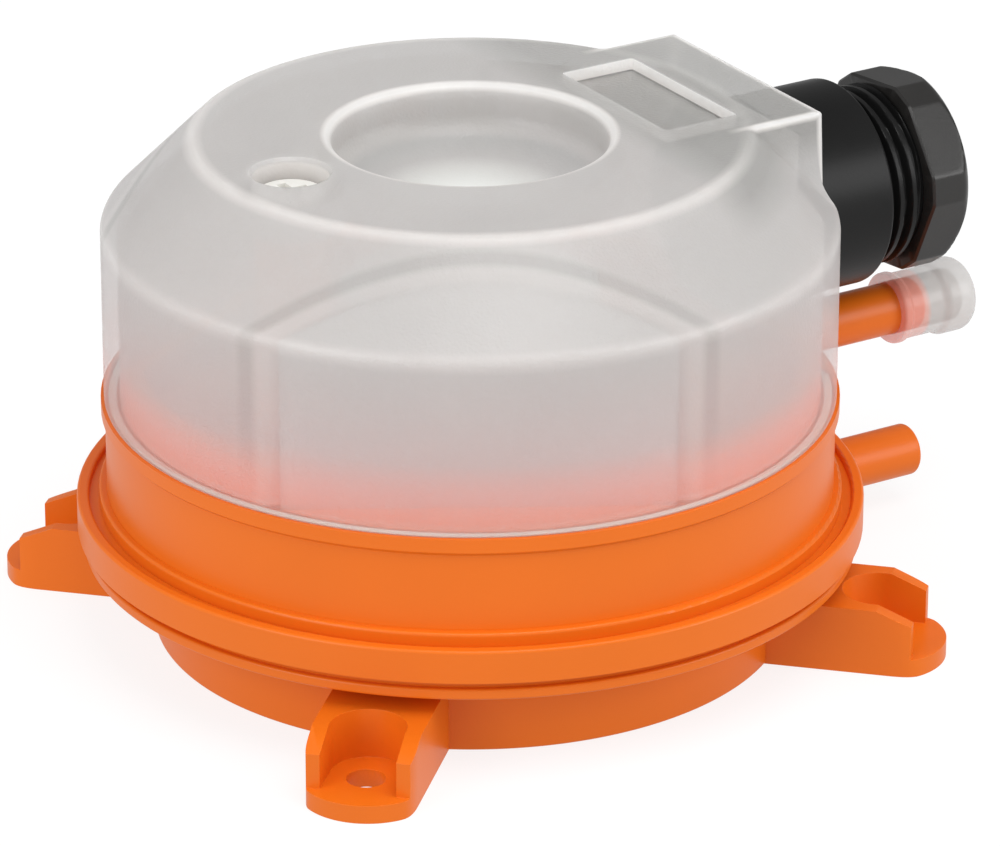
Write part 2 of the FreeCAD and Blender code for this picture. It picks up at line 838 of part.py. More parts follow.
def cover_outside():
    profile = [(0, ledge_z), (cover_r, ledge_z), (cover_r, cone_z), (cover_top_r, cover_top_z)]
    drum = turned(profile + [(0, cover_top_z)])
    drum = drum.makeFillet(cover_edge_r, edges_at(drum, cover_top_z, cover_top_r))
    drum = drum.cut(beyond(gland_face_x, 0))
    nose = block(0, gland_face_x, -block_half_w, block_half_w, cone_z - 3, cover_top_z)
    return joined(drum, nose)


def cover_inside():
    slope = (cover_r - cover_top_r) / (cover_top_z - cone_z)
    ceiling_z = cover_top_z - cover_t
    skin = cover_t * math.hypot(1, slope)
    knee_z = cone_z - (skin - cover_t) / slope
    top_r = cover_r - skin - slope * (ceiling_z - cone_z)
    profile = [(0, ledge_z), (cover_in_r, ledge_z), (cover_in_r, knee_z), (top_r, ceiling_z)]
    drum = turned(profile + [(0, ceiling_z)]).cut(beyond(face_in_x, 0))
    half = block_half_w - block_side_t
    nose_z = cover_top_z - block_top_t
    nose = block(0, face_in_x, -half, half, knee_z - 3, nose_z)
    roof = block(window_x0 - 2, gland_face_x, -cover_r, cover_r, nose_z, cover_top_z)
    return joined(drum.cut(roof), nose)


def cover_webs(inside):
    # two flat walls inside the skin, at even angles from the gland face
    webs = []
    for side in (-web_deg, web_deg):
        slab = spun(
            block(web_in_d, web_d, -cover_r, cover_r, ledge_z, cover_top_z),
            side,
        )
        webs.append(slab.common(inside))
    return webs


def cover():
    outside = cover_outside()
    inside = cover_inside()
    shell = outside.cut(inside)
    screw_tube_r = screw_well_r + screw_well_wall
    tube_z = screw_seat_z - well_floor_t
    screw_tube = cylinder(screw_tube_r, tube_z, cover_top_z - cover_t / 2, screw_well_x)
    bowl = well_profile(cover_t).common(cylinder(cover_r, 0, cover_top_z - cover_t / 2))
    shell = joined(shell, bowl, screw_tube, *cover_webs(inside))
    cuts = [
        well_profile(0),
        cylinder(screw_well_r, screw_seat_z, cover_top_z, screw_well_x),
        cylinder(screw_r + 4 * running_gap, tube_z, screw_seat_z, screw_well_x),
        block(
            window_x0,
            window_x1,
            -window_half_w,
            window_half_w,
            cover_top_z - window_depth,
            cover_top_z,
        ),
        bar_x(gland_stub_r + gland_hole_gap, face_in_x - 1, gland_face_x, 0, gland_z),
    ]
    shell = shell.cut(cuts)
    shell = shell.makeFillet(well_lip_r, edges_at(shell, cover_top_z, well_r))
    return shell.makeFillet(0.4, edges_at(shell, cover_top_z, screw_well_r))


def cover_screw():
    head = cylinder(screw_head_r, screw_seat_z, screw_seat_z + screw_head_h, screw_well_x)
    top_z = screw_seat_z + screw_head_h
    head = head.makeFillet(0.6, edges_at(head, top_z))
    shank = cylinder(screw_r, screw_seat_z - screw_len, screw_seat_z, screw_well_x)
    shank = shank.makeChamfer(0.7, edges_at(shank, screw_seat_z - screw_len))
    half_w = screw_cross_w / 2
    half_l = screw_cross_len / 2
    low = top_z - screw_cross_depth
    along = block(screw_well_x - half_l, screw_well_x + half_l, -half_w, half_w, low, top_z)
    across = block(screw_well_x - half_w, screw_well_x + half_w, -half_l, half_l, low, top_z)
    return joined(head, shank).cut([along, across])


def cover_seal():
    return gasket_ring(gasket_t)


def gland_body():
    stub_x = gland_face_x - gland_stub_l
    seat_x = gland_tip_x - gland_seat_depth
    profile = [
        (stub_x, gland_bore_r),
        (stub_x, gland_stub_r - 0.5),
        (stub_x + 0.5, gland_stub_r),
        (gland_face_x + gasket_ring_t, gland_stub_r),
        (gland_face_x + gasket_ring_t, gasket_ring_r + running_gap),
        (gland_face_x, gasket_ring_r + running_gap),
        (gland_face_x, gland_body_r),
        (gland_front_x - 0.3, gland_body_r),
        (gland_front_x, gland_body_r - 0.3),
        (gland_front_x, gland_thread_r),
        (gland_tip_x - 0.5, gland_thread_r),
        (gland_tip_x, gland_thread_r - 0.5),
        (gland_tip_x, gland_seat_r),
        (seat_x, gland_seat_r),
        (seat_x, gland_bore_r),
    ]
    ridges = [thread_ridge(i) for i in range(gland_ridge_count)]
    return joined(turned_x(profile, gland_z), *ridges)


def thread_ridge(place):
    # one turn of the thread left bare between the body and the nut
    mid_x = gland_front_x + (place + 0.5) * gland_ridge_pitch
    profile = [
        (mid_x - gland_ridge_root_w / 2, gland_thread_r - 1),
        (mid_x - gland_ridge_root_w / 2, gland_thread_r),
        (mid_x - gland_ridge_crest_w / 2, gland_ridge_r),
        (mid_x + gland_ridge_crest_w / 2, gland_ridge_r),
        (mid_x + gland_ridge_root_w / 2, gland_thread_r),
        (mid_x + gland_ridge_root_w / 2, gland_thread_r - 1),
    ]
    return turned_x(profile, gland_z)


def gland_gasket():
    profile = [
        (gland_face_x, gland_stub_r + running_gap),
        (gland_face_x, gasket_ring_r),
        (gland_face_x + gasket_ring_t, gasket_ring_r),
        (gland_face_x + gasket_ring_t, gland_stub_r + running_gap),
    ]
    return turned_x(profile, gland_z)


def hexagon_bar(flat, x0, x1):
    corner = flat / 2 / math.cos(30 * deg)
    points = []
    for i in range(6):
        angle = i * 60 * deg
        points.append(Vector(x0, corner * math.cos(angle), gland_z + corner * math.sin(angle)))
    return outline_face(points).extrude(Vector(x1 - x0, 0, 0))


def gland_locknut():
    x1 = face_in_x
    x0 = x1 - locknut_t
    nut = hexagon_bar(locknut_af, x0, x1)
    chamfer_r = locknut_af / 2 / math.cos(30 * deg)
    limit = turned_x([(x0, 0), (x0, locknut_af / 2), (x0 + 0.9, chamfer_r), (x1, chamfer_r), (x1, 0)], gland_z)
    return nut.common(limit).cut(bar_x(gland_stub_r + running_gap, x0, x1, 0, gland_z))


def gland_seal():
    x0 = gland_tip_x - gland_seat_depth
    x1 = x0 + seal_l
    profile = [
        (x0, cable_r),
        (x0, gland_bore_r),
        (x0 + 0.4, gland_seat_r - 2 * running_gap),
        (x1, gland_seat_r - 2 * running_gap),
        (x1, cable_r),
    ]
    return turned_x(profile, gland_z)


def slip_x():
    return gland_tip_x - gland_seat_depth + seal_l + slip_gap


def gland_slip_washer():
    x0 = slip_x()
    profile = [
        (x0, slip_washer_hole_r),
        (x0, gland_seat_r - bore_gap),
        (x0 + slip_washer_t, gland_seat_r - bore_gap),
        (x0 + slip_washer_t, slip_washer_hole_r),
    ]
    return turned_x(profile, gland_z)


def nut_outline(corner_r, x):
    points = []
    for i in range(6):
        for side in (-1, 1):
            angle = (nut_phase_deg + 60 * i + side * nut_corner_half_deg) * deg
            points.append(Vector(x, corner_r * math.cos(angle), gland_z + corner_r * math.sin(angle)))
    return points


def gland_nut():
    # six long flats with the corners cut flat, and a domed end round the cable hole
    end_x = nut_x + nut_flat_l + nut_dome_l
    prism = outline_face(nut_outline(nut_corner_r, nut_x)).extrude(Vector(end_x - nut_x, 0, 0))
    flat_x = nut_x + nut_flat_l
    arc = Part.Arc(
        Vector(flat_x, nut_corner_r, 0),
        Vector(flat_x + nut_dome_l * 0.62, nut_corner_r - (nut_corner_r - nut_end_r) * 0.40, 0),
        Vector(end_x, nut_end_r, 0),
    ).toShape()
    lines = [
        Part.makeLine(Vector(nut_x, 0, 0), Vector(nut_x, nut_corner_r + 0.2, 0)),
        Part.makeLine(Vector(nut_x, nut_corner_r + 0.2, 0), Vector(flat_x, nut_corner_r + 0.2, 0)),
        Part.makeLine(Vector(flat_x, nut_corner_r + 0.2, 0), Vector(flat_x, nut_corner_r, 0)),
        arc,
        Part.makeLine(Vector(end_x, nut_end_r, 0), Vector(end_x, 0, 0)),
        Part.makeLine(Vector(end_x, 0, 0), Vector(nut_x, 0, 0)),
    ]
    limit = Part.Face(Part.Wire(lines)).revolve(Vector(0, 0, 0), Vector(1, 0, 0), 360)
    limit.translate(Vector(0, 0, gland_z))
    thread_r = gland_thread_r + nut_thread_gap
    seat_x = slip_x() + slip_washer_t + running_gap
    hollow_x = max(gland_tip_x + slip_gap, seat_x)
    bore = bar_x(thread_r, nut_x, hollow_x, 0, gland_z)
    hole = bar_x(nut_hole_r, nut_x, end_x, 0, gland_z)
    return prism.common(limit).cut([bore, hole])


def port_cap():
    bore_r = port_r + running_gap
    profile = [
        (cap_mouth_x, bore_r),
        (cap_mouth_x, cap_lip_r - 0.2),
        (cap_mouth_x + 0.2, cap_lip_r),
        (cap_mouth_x + cap_lip_l, cap_lip_r),
        (cap_mouth_x + cap_lip_l + 0.3, cap_r),
        (cap_bulb_x - 0.8, cap_r),
        (cap_bulb_x, cap_bulb_r),
        (cap_end_x, cap_bulb_r),
        (cap_end_x, 0),
        (cap_end_x - cap_end_t, 0),
        (cap_end_x - cap_end_t, bore_r),
    ]
    cap = turned_x(profile, upper_port_z)
    end = [e for e in cap.Edges if abs(e.CenterOfMass.x - cap_end_x) < 0.01]
    end = [e for e in end if isinstance(e.Curve, Part.Circle)]
    return cap.makeFillet(cap_end_edge_r, end)


def save(name, shape):
    solids = shape.Solids
    whole = shape if len(solids) != 1 else solids[0]
    whole.exportStep("parts/" + name + ".step")
    volume = sum(s.Volume for s in solids)
    print(name, len(solids), "solid(s)", round(volume, 1), "mm3", "valid" if whole.isValid() else "INVALID")


tab_names = ["terminal_common", "terminal_normally_open", "terminal_normally_closed"]

save("base_housing", base_housing())
save("upper_housing", upper_housing())
save("diaphragm", diaphragm())
save("diaphragm_plate", diaphragm_plate())
save("range_spring", range_spring())
save("spring_retainer", spring_retainer())
save("setting_dial", setting_dial())
save("dial_clip", dial_clip())
save("spindle_seal", spindle_seal())
save("scale_plate", scale_plate())
save("pin_grommet", pin_grommet())
save("microswitch_body", microswitch_body())
save("microswitch_plunger", microswitch_plunger())
save("actuating_lever", actuating_lever())
save("lever_pivot_pin", lever_pivot_pin())
for tab_name, tab_x in zip(tab_names, tab_places()):
    save(tab_name, terminal_tab(tab_x))
save("switch_screws", switch_screws())
save("cover", cover())
save("cover_seal", cover_seal())
save("cover_screw", cover_screw())
save("gland_body", gland_body())
save("gland_gasket", gland_gasket())
save("gland_locknut", gland_locknut())
save("gland_seal", gland_seal())
save("gland_slip_washer", gland_slip_washer())
save("gland_nut", gland_nut())
save("port_cap", port_cap())
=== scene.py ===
# %% [markdown]
# # A differential pressure switch, dressed cell by cell
#
# The object is a round housing of orange plastic on four feet, with a frosted cover, a black cable
# gland and two hose stubs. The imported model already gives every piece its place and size, so this
# script loads it first and then adds what a camera would notice: rounded edges, the milky cover,
# the moulded surfaces. Everything is in metres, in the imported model's own frame.

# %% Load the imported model
import json
import bmesh
import bpy
import numpy as np
from mathutils import Matrix, Vector


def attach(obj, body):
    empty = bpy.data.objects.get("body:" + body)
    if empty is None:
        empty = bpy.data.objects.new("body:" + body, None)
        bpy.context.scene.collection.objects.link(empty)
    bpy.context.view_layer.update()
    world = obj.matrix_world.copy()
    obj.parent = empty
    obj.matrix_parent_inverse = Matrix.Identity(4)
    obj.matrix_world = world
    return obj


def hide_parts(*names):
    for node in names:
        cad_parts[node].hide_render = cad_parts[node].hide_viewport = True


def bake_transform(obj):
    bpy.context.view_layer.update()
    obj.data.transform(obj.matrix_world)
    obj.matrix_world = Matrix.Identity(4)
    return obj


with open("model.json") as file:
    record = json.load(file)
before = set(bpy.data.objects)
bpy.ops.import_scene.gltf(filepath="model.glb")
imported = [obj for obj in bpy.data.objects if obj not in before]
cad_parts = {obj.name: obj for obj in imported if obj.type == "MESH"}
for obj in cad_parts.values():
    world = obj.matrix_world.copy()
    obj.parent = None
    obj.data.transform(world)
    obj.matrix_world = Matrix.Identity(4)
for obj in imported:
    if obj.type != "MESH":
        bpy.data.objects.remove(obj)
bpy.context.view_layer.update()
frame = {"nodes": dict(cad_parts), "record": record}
nodes = frame["nodes"]
MM = 0.001

# %% [markdown]
# ## The camera
# The photograph was taken from the front left, about 23 degrees above the horizon, from so far
# away that the rims look almost like plain ellipses. A long lens gives that flat look. The shift
# slides the picture without turning the camera, so the vertical edges stay upright.

# %% Camera
LOOK_AT = Vector((0.0, 0.0, 27.76 * MM))
DISTANCE = 719.3 * MM
AZIMUTH = np.radians(-31.6)
ELEVATION = np.radians(23.13)
backwards = Vector((
    np.sin(AZIMUTH) * np.cos(ELEVATION),
    -np.cos(AZIMUTH) * np.cos(ELEVATION),
    np.sin(ELEVATION),
))
lens = bpy.data.cameras.new("long_lens")
lens.lens = 231.2
lens.sensor_width = 36.0
lens.shift_x = 0.0297
lens.shift_y = -0.0371
lens.clip_start = 0.02
lens.clip_end = 20.0
camera = bpy.data.objects.new("camera", lens)
bpy.context.scene.collection.objects.link(camera)
camera.location = LOOK_AT + backwards * DISTANCE
camera.rotation_mode = "QUATERNION"
camera.rotation_quaternion = (-backwards).to_track_quat("-Z", "Y")
bpy.context.scene.camera = camera
bpy.context.scene.view_settings.view_transform = "Standard"
print("camera stands at", [round(v, 3) for v in camera.location])

# %% [markdown]
# ## Surfaces from two parameters
# Most of the housing was turned or moulded, so nearly every piece is a grid: rows follow an
# outline, columns go round or along. numpy works out all points at once, and one helper makes the
# mesh. It merges the doubled points of a pole, turns the faces outwards and marks the sharp edges,
# so that soft and crisp edges are shaded as such. Blender's own primitives and modifiers could do
# part of it, but a formula keeps every size in sight and gives the same mesh each time.

# %% Objects and clean meshes
SHARP_ANGLE = np.radians(32)


def new_object(name, mesh):
    """Links a mesh into the scene as an object at the origin."""
    piece = bpy.data.objects.new(name, mesh)
    bpy.context.scene.collection.objects.link(piece)
    return piece


def clean(mesh):
    """Merges points closer than 2 micrometres, turns faces outwards, shades smooth up to the sharp angle."""
    work = bmesh.new()
    work.from_mesh(mesh)
    bmesh.ops.remove_doubles(work, verts=work.verts, dist=0.002 * MM)
    bmesh.ops.dissolve_degenerate(work, dist=0.001 * MM, edges=work.edges)
    bmesh.ops.recalc_face_normals(work, faces=work.faces)
    work.to_mesh(mesh)
    work.free()
    mesh.shade_smooth()
    mesh.set_sharp_from_angle(angle=SHARP_ANGLE)


# %% Grid to mesh
def surface(name, points, wrap_rows=False, wrap_columns=True):
    """Closed mesh of points[row, column, xyz] in millimetres. Vertex row * columns + column joins its
    neighbours to the right and below in one quad; a wrapped direction joins its last line to its first."""
    rows, columns = points.shape[:2]
    row = np.arange(rows if wrap_rows else rows - 1)[:, None]
    column = np.arange(columns if wrap_columns else columns - 1)[None, :]
    right = (column + 1) % columns
    below = (row + 1) % rows
    corners = [row * columns + column, row * columns + right, below * columns + right, below * columns + column]
    quads = np.stack([np.broadcast_to(c, (row.size, column.size)) for c in corners], axis=-1)
    mesh = bpy.data.meshes.new(name)
    mesh.from_pydata((points.reshape(-1, 3) * MM).tolist(), [], quads.reshape(-1, 4).tolist())
    clean(mesh)
    return new_object(name, mesh)


print("edges stay crisp above", round(float(np.degrees(SHARP_ANGLE))), "degrees")

# %% [markdown]
# ## Finishes
# The switch is nearly all moulded plastic: glossy orange, milky white, matt black, with a few
# plated metal pieces inside. A flat colour would look like paper, so every finish is a node tree on
# the Principled shader. Noise in Object coordinates, so in metres, moves the colour and the gloss a
# little and lifts a fine grain, as spark-eroded moulds leave it. A scale of 1000 makes dots of about
# a millimetre. Pictures could do this too, but noise needs no unwrapping and shows no seam.

# %% Material helper
finishes = {}


def finish_material(name, colour, roughness, tone=0.05, grain=2500.0, bump=0.05, cloud=60.0, **sockets):
    """Principled finish: colour times (1 +- tone) by slow noise, roughness by the same noise, and a
    bump by fine noise. Further sockets of the shader are set by name, with blanks written as _."""
    material = bpy.data.materials.new(name)
    material.use_nodes = True
    tree = material.node_tree
    shader = tree.nodes["Principled BSDF"]
    place = tree.nodes.new("ShaderNodeTexCoord")
    slow = tree.nodes.new("ShaderNodeTexNoise")
    slow.inputs["Scale"].default_value = cloud
    slow.inputs["Detail"].default_value = 4.0
    ramp = tree.nodes.new("ShaderNodeValToRGB")
    base = np.array(colour)
    ramp.color_ramp.elements[0].position, ramp.color_ramp.elements[1].position = 0.3, 0.7
    ramp.color_ramp.elements[0].color = (*np.clip(base * (1 - tone), 0, 1), 1)
    ramp.color_ramp.elements[1].color = (*np.clip(base * (1 + tone), 0, 1), 1)
    gloss = tree.nodes.new("ShaderNodeMapRange")
    gloss.inputs["To Min"].default_value = roughness * 0.88
    gloss.inputs["To Max"].default_value = min(roughness * 1.12, 1.0)
    fine = tree.nodes.new("ShaderNodeTexNoise")
    fine.inputs["Scale"].default_value = grain
    fine.inputs["Detail"].default_value = 2.0
    relief = tree.nodes.new("ShaderNodeBump")
    relief.inputs["Strength"].default_value = bump
    relief.inputs["Distance"].default_value = 0.1 * MM
    link = tree.links.new
    link(place.outputs["Object"], slow.inputs["Vector"])
    link(place.outputs["Object"], fine.inputs["Vector"])
    link(slow.outputs["Fac"], ramp.inputs["Fac"])
    link(ramp.outputs["Color"], shader.inputs["Base Color"])
    link(slow.outputs["Fac"], gloss.inputs["Value"])
    link(gloss.outputs["Result"], shader.inputs["Roughness"])
    link(fine.outputs["Fac"], relief.inputs["Height"])
    link(relief.outputs["Normal"], shader.inputs["Normal"])
    for socket, value in sockets.items():
        shader.inputs[socket.replace("_", " ")].default_value = value
    finishes[name] = material
    return material


# %% The finishes
orange = finish_material("orange_plastic", (0.78, 0.158, 0.008), 0.34, 0.03, 3500, 0.06, 40, Specular_IOR_Level=0.3)
frosted = finish_material(
    "frosted_cover", (0.59, 0.575, 0.565), 0.36, 0.02, 2600, 0.6, 50, Subsurface_Weight=1.0, Subsurface_Scale=0.003
)
black = finish_material("black_nylon", (0.007, 0.007, 0.007), 0.36, 0.2, 3000, 0.08, 80, Specular_IOR_Level=0.22)
# a lighter, glossier copy of black nylon for the gland nut: painted light that makes the nut brighter than the body
black_painted_lighter = finish_material(
    "black_nylon_painted_lighter", (0.02, 0.019, 0.018), 0.3, 0.25, 3000, 0.08, 80, Specular_IOR_Level=0.45
)
soft_clear = finish_material("clear_soft_plastic", (0.8, 0.78, 0.76), 0.25, 0.02, 1500, 0.05, 60, Alpha=0.5)
white = finish_material("white_plastic", (0.82, 0.81, 0.77), 0.4, 0.03, 3000, 0.05, 60)
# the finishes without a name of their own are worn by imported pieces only
finish_material("ivory_plastic", (0.76, 0.72, 0.62), 0.42, 0.04, 3000, 0.05, 60)
finish_material("pale_scale", (0.74, 0.80, 0.77), 0.35, 0.02, 3000, 0.03, 60)
finish_material("red_plastic", (0.6, 0.05, 0.04), 0.35, 0.05, 3000, 0.05, 60)
finish_material(
    "silicone_membrane", (0.7, 0.67, 0.62), 0.5, 0.04, 2500, 0.06, 60, Subsurface_Weight=0.1, Subsurface_Scale=0.002
)
finish_material("black_rubber", (0.02, 0.02, 0.02), 0.65, 0.15, 2500, 0.1, 60)
steel = finish_material("spring_steel", (0.62, 0.61, 0.6), 0.28, 0.06, 3000, 0.05, 200, Metallic=1.0)
finish_material("zinc_steel", (0.68, 0.68, 0.66), 0.34, 0.08, 3000, 0.08, 200, Metallic=1.0)
finish_material("tin_plated_brass", (0.74, 0.71, 0.64), 0.3, 0.05, 3000, 0.05, 200, Metallic=1.0)
print("finishes:", len(finishes))

# %% [markdown]
# ## The cover's plastic
# Seen from outside, four things happen in the milky cover. It is clearer near its foot, where the
# wall stands against the orange spigot, and a pink and warm tint painted low on it stands in for the
# light of that spigot. Painted highlights brighten its edges, where the plastic scatters more light.
# And painted shade darkens the roof over the gland. All of it is worked out from the place on the
# object: the height, the distance from the axis, and bands drawn round an edge. The two flat walls
# inside show through as a faint arch on the cone, painted as a line of shade with a lighter band
# beside it. Painted shade darkens the bowl's rim, and painted light brightens its middle and the
# screw well. A mask is a value from 0 to 1 that says how strongly a tint applies there. A shader that
# lets all light through and scatters it would show this by itself, but it needs far more samples,
# and tints by place stay free of noise.
# The small functions below add their nodes to the node tree that is called tree at that moment.

# %% Sizes of the cover, in millimetres
LEDGE_Z, CONE_Z, TOP_Z = 27.6, 47.9, 58.1
COVER_R, TOP_R, WALL, WELL_R = 41.0, 30.9, 1.8, 15.3
FACE_X, BLOCK_HALF = 36.7, 15.0
WEB_REACH, WEB_T = 32.9, 1.3
SCREW_X, SCREW_WELL_R, SCREW_SEAT_Z = -22.9, 4.25, 53.6
SLOPE = (COVER_R - TOP_R) / (TOP_Z - CONE_Z)
print("cone rises", round(1 / SLOPE, 3), "mm for each mm inwards")

# %% Functions that add nodes
tree = frosted.node_tree
shader = tree.nodes["Principled BSDF"]
shader.inputs["Subsurface Radius"].default_value = (1, 1, 1)


def maths(operation, first, second):
    """Output of one sum on two values, each a number or another node's output."""
    made = tree.nodes.new("ShaderNodeMath")
    made.operation = operation
    for socket, value in zip(made.inputs, (first, second)):
        if isinstance(value, bpy.types.NodeSocket):
            tree.links.new(value, socket)
        else:
            socket.default_value = value
    return made.outputs[0]


def fade(value, low, high, start, end):
    """Output that runs from start to end while value runs from low to high, and stays there."""
    made = tree.nodes.new("ShaderNodeMapRange")
    for socket, number in zip(("From Min", "From Max", "To Min", "To Max"), (low, high, start, end)):
        made.inputs[socket].default_value = number
    tree.links.new(value, made.inputs["Value"])
    return made.outputs["Result"]


def mixed(share, first, second):
    """Colour output between first and second by share."""
    made = tree.nodes.new("ShaderNodeMixRGB")
    tree.links.new(share, made.inputs["Fac"])
    for socket, colour in zip(("Color1", "Color2"), (first, second)):
        if isinstance(colour, bpy.types.NodeSocket):
            tree.links.new(colour, made.inputs[socket])
        else:
            made.inputs[socket].default_value = (*colour, 1)
    return made.outputs["Color"]


def times(first, second):
    """Product of two masks, or of a mask and its strength."""
    return maths("MULTIPLY", first, second)


def largest(first, *others):
    """Largest of several masks, so that their regions join."""
    for other in others:
        first = maths("MAXIMUM", first, other)
    return first


def length(first, second):
    """Output of sqrt(first^2 + second^2)."""
    return maths("SQRT", maths("ADD", times(first, first), times(second, second)), 0)


def near(first, at_first, second, at_second, width):
    """1 where the point (first, second) lies on (at_first, at_second), fading to 0 at that width."""
    gap = length(maths("SUBTRACT", first, at_first), maths("SUBTRACT", second, at_second))
    return fade(gap, width * 0.3, width, 1, 0)


def band(value, low, high, soft=0.2):
    """1 between low and high, 0 outside, over a soft step."""
    return times(fade(value, low - soft, low, 0, 1), fade(value, high, high + soft, 1, 0))


# %% Place on the cover
texture_place = tree.nodes.new("ShaderNodeTexCoord")
split_axes = tree.nodes.new("ShaderNodeSeparateXYZ")
scaled = tree.nodes.new("ShaderNodeVectorMath")
scaled.operation = "SCALE"
scaled.inputs["Scale"].default_value = 1 / MM
tree.links.new(texture_place.outputs["Object"], scaled.inputs[0])
tree.links.new(scaled.outputs["Vector"], split_axes.inputs["Vector"])
x_mm, y_mm, z_mm = split_axes.outputs
across_mm = maths("ABSOLUTE", y_mm, 0)
from_axis = length(x_mm, y_mm)
print("place nodes:", len(tree.nodes))

# %% Masks: painted highlights along the edges
edge_z = TOP_Z - 0.1
roof_edge = times(near(from_axis, TOP_R - 0.2, z_mm, TOP_Z - 0.4, 1.3), fade(x_mm, 16, 25, 0.5, 0.15))
knee_edge = times(near(from_axis, COVER_R - 0.2, z_mm, CONE_Z - 0.3, 1.3), 0.2)
well_edge = near(from_axis, WELL_R + 0.5, z_mm, TOP_Z - 0.2, 0.9)
foot_edge = fade(z_mm, LEDGE_Z + 0.4, LEDGE_Z + 0.9, 0.8, 0)
face_edge_line = near(x_mm, FACE_X - 0.1, z_mm, edge_z, 0.8)
side_edge_line = near(across_mm, BLOCK_HALF - 0.1, z_mm, edge_z, 0.8)
corner_edge = times(near(x_mm, FACE_X - 0.1, across_mm, BLOCK_HALF - 0.1, 0.8), fade(z_mm, 48, 50, 0, 1))
block_edges = times(largest(face_edge_line, side_edge_line, corner_edge), fade(x_mm, 24, 28, 0, 1))
in_window = times(band(x_mm, 18.4, 28.5), band(across_mm, -1, 11.0))
window_edge = times(in_window, band(z_mm, 56.75, 58.02, 0.05))
# edges joins the bands where a painted highlight brightens the cover's edges
edges = largest(roof_edge, knee_edge, well_edge, foot_edge, block_edges, window_edge)
print("nodes with the edge masks:", len(tree.nodes))

# %% Masks: painted shade and light on the roof, window, bowl, screw well and arch of the inner walls
# painted shade on the roof over the gland and on the window floor
roof_shade = times(band(x_mm, 19, 36, 6), fade(z_mm, 53, 56, 0, 0.9))
window_shade = times(in_window, band(z_mm, 55.0, 56.65, 0.05))
in_bowl = times(fade(from_axis, 13.5, 14.5, 1, 0), fade(z_mm, 54.4, 55.4, 1, 0))
# where painted light brightens the screw well's floor
in_screw_well = times(near(x_mm, SCREW_X, y_mm, 0, 6.2), fade(z_mm, 57.4, 57.8, 1, 0))
# distance along the normals of both inner walls, which stand 120 degrees to either side of X
web_out = maths("ADD", times(x_mm, -0.5), times(across_mm, 0.866))
# the same value all over the drum and the cone: the drum's radius
slope_out = maths("ADD", from_axis, times(maths("MAXIMUM", maths("SUBTRACT", z_mm, CONE_Z), 0), 0.99))
on_skin = fade(slope_out, COVER_R - 1.0, COVER_R - 0.4, 0, 1)
# painted shade along the line of each inner wall on the skin
web_shade_line = times(times(band(web_out, WEB_REACH - 0.6, WEB_REACH, 0.6), on_skin), 0.5)
# a painted lighter band beside each inner wall's line
web_light_band = times(times(band(web_out, WEB_REACH + 0.8, WEB_REACH + 1.4, 0.7), on_skin), 0.13)
print("nodes with all masks:", len(tree.nodes))

# %% Colour of the cover, with painted light and shade, and its opacity
# colours of painted light and shade: highlight white for edges, glow pink and warm grey low down, shade greys, glow
# white in the bowl
HIGHLIGHT_WHITE, FOOT_GLOW_PINK, WARM_GLOW_GREY = (0.93, 0.9, 0.87), (0.97, 0.47, 0.4), (0.74, 0.585, 0.57)
SHADE_GREY, BOWL_RIM_SHADE, BOWL_GLOW_WHITE = (0.42, 0.415, 0.4), (0.46, 0.455, 0.45), (0.97, 1.0, 0.96)
cover_tint_with_painted_light = tree.nodes["Color Ramp"].outputs["Color"]
# painted shade: the roof, the window floor and the arch line turn grey
cover_tint_with_painted_light = mixed(largest(roof_shade, window_shade, web_shade_line), cover_tint_with_painted_light, SHADE_GREY)
# painted shade darkens the bowl's rim, painted light brightens its middle
cover_tint_with_painted_light = mixed(times(in_bowl, fade(from_axis, 9, 14, 0, 1)), cover_tint_with_painted_light, BOWL_RIM_SHADE)
cover_tint_with_painted_light = mixed(times(in_bowl, fade(from_axis, 3, 11, 1, 0)), cover_tint_with_painted_light, BOWL_GLOW_WHITE)
# painted glow of the orange parts inside: warm grey fading up the drum, pink near the foot
cover_tint_with_painted_light = mixed(fade(z_mm, 33, 49, 0.55, 0), cover_tint_with_painted_light, WARM_GLOW_GREY)
cover_tint_with_painted_light = mixed(fade(z_mm, 28, 36, 0.9, 0), cover_tint_with_painted_light, FOOT_GLOW_PINK)
# painted highlights: the edges, the band beside the inner walls and the screw well's floor turn white
cover_tint_with_painted_light = mixed(largest(edges, web_light_band, in_screw_well), cover_tint_with_painted_light, HIGHLIGHT_WHITE)
tree.links.new(cover_tint_with_painted_light, shader.inputs["Base Color"])
opacity = times(fade(z_mm, 28, 46, 0.45, 0.7), fade(in_bowl, 0, 1, 1, 1.2))
# lamps shine through more strongly than the camera sees through, as milky plastic passes light on
lamp_ray = tree.nodes.new("ShaderNodeLightPath").outputs["Is Shadow Ray"]
tree.links.new(times(opacity, fade(lamp_ray, 0, 1, 1, 0.4)), shader.inputs["Alpha"])
print("cover nodes:", len(tree.nodes))

# %% [markdown]
# ## The clear cap, and the imported pieces
# The cap on the upper stub is soft and clear. Where it is pushed over the orange stub, a pink tint
# is painted into its colour for the stub's light seen through it, and its closed end stays grey. One
# step along X tells the two apart. All imported pieces get their finish here too, by the slot that
# the record names for them, because most of them are small or stand under the cover and need no new shape.

# %% Painted tint of the clear cap where it covers the stub
tree = soft_clear.node_tree
cap_place = tree.nodes.new("ShaderNodeTexCoord")
cap_axes = tree.nodes.new("ShaderNodeSeparateXYZ")
tree.links.new(cap_place.outputs["Object"], cap_axes.inputs["Vector"])
# painted tint: pink where the cap lies over the orange stub, for the stub's light seen through it
on_stub = fade(cap_axes.outputs["X"], 60.0 * MM, 60.6 * MM, 1, 0)
cap_tint_painted_over_stub = mixed(on_stub, (0.66, 0.64, 0.62), (1.0, 0.46, 0.37))
tree.links.new(cap_tint_painted_over_stub, tree.nodes["Principled BSDF"].inputs["Base Color"])
print("cap nodes:", len(tree.nodes))

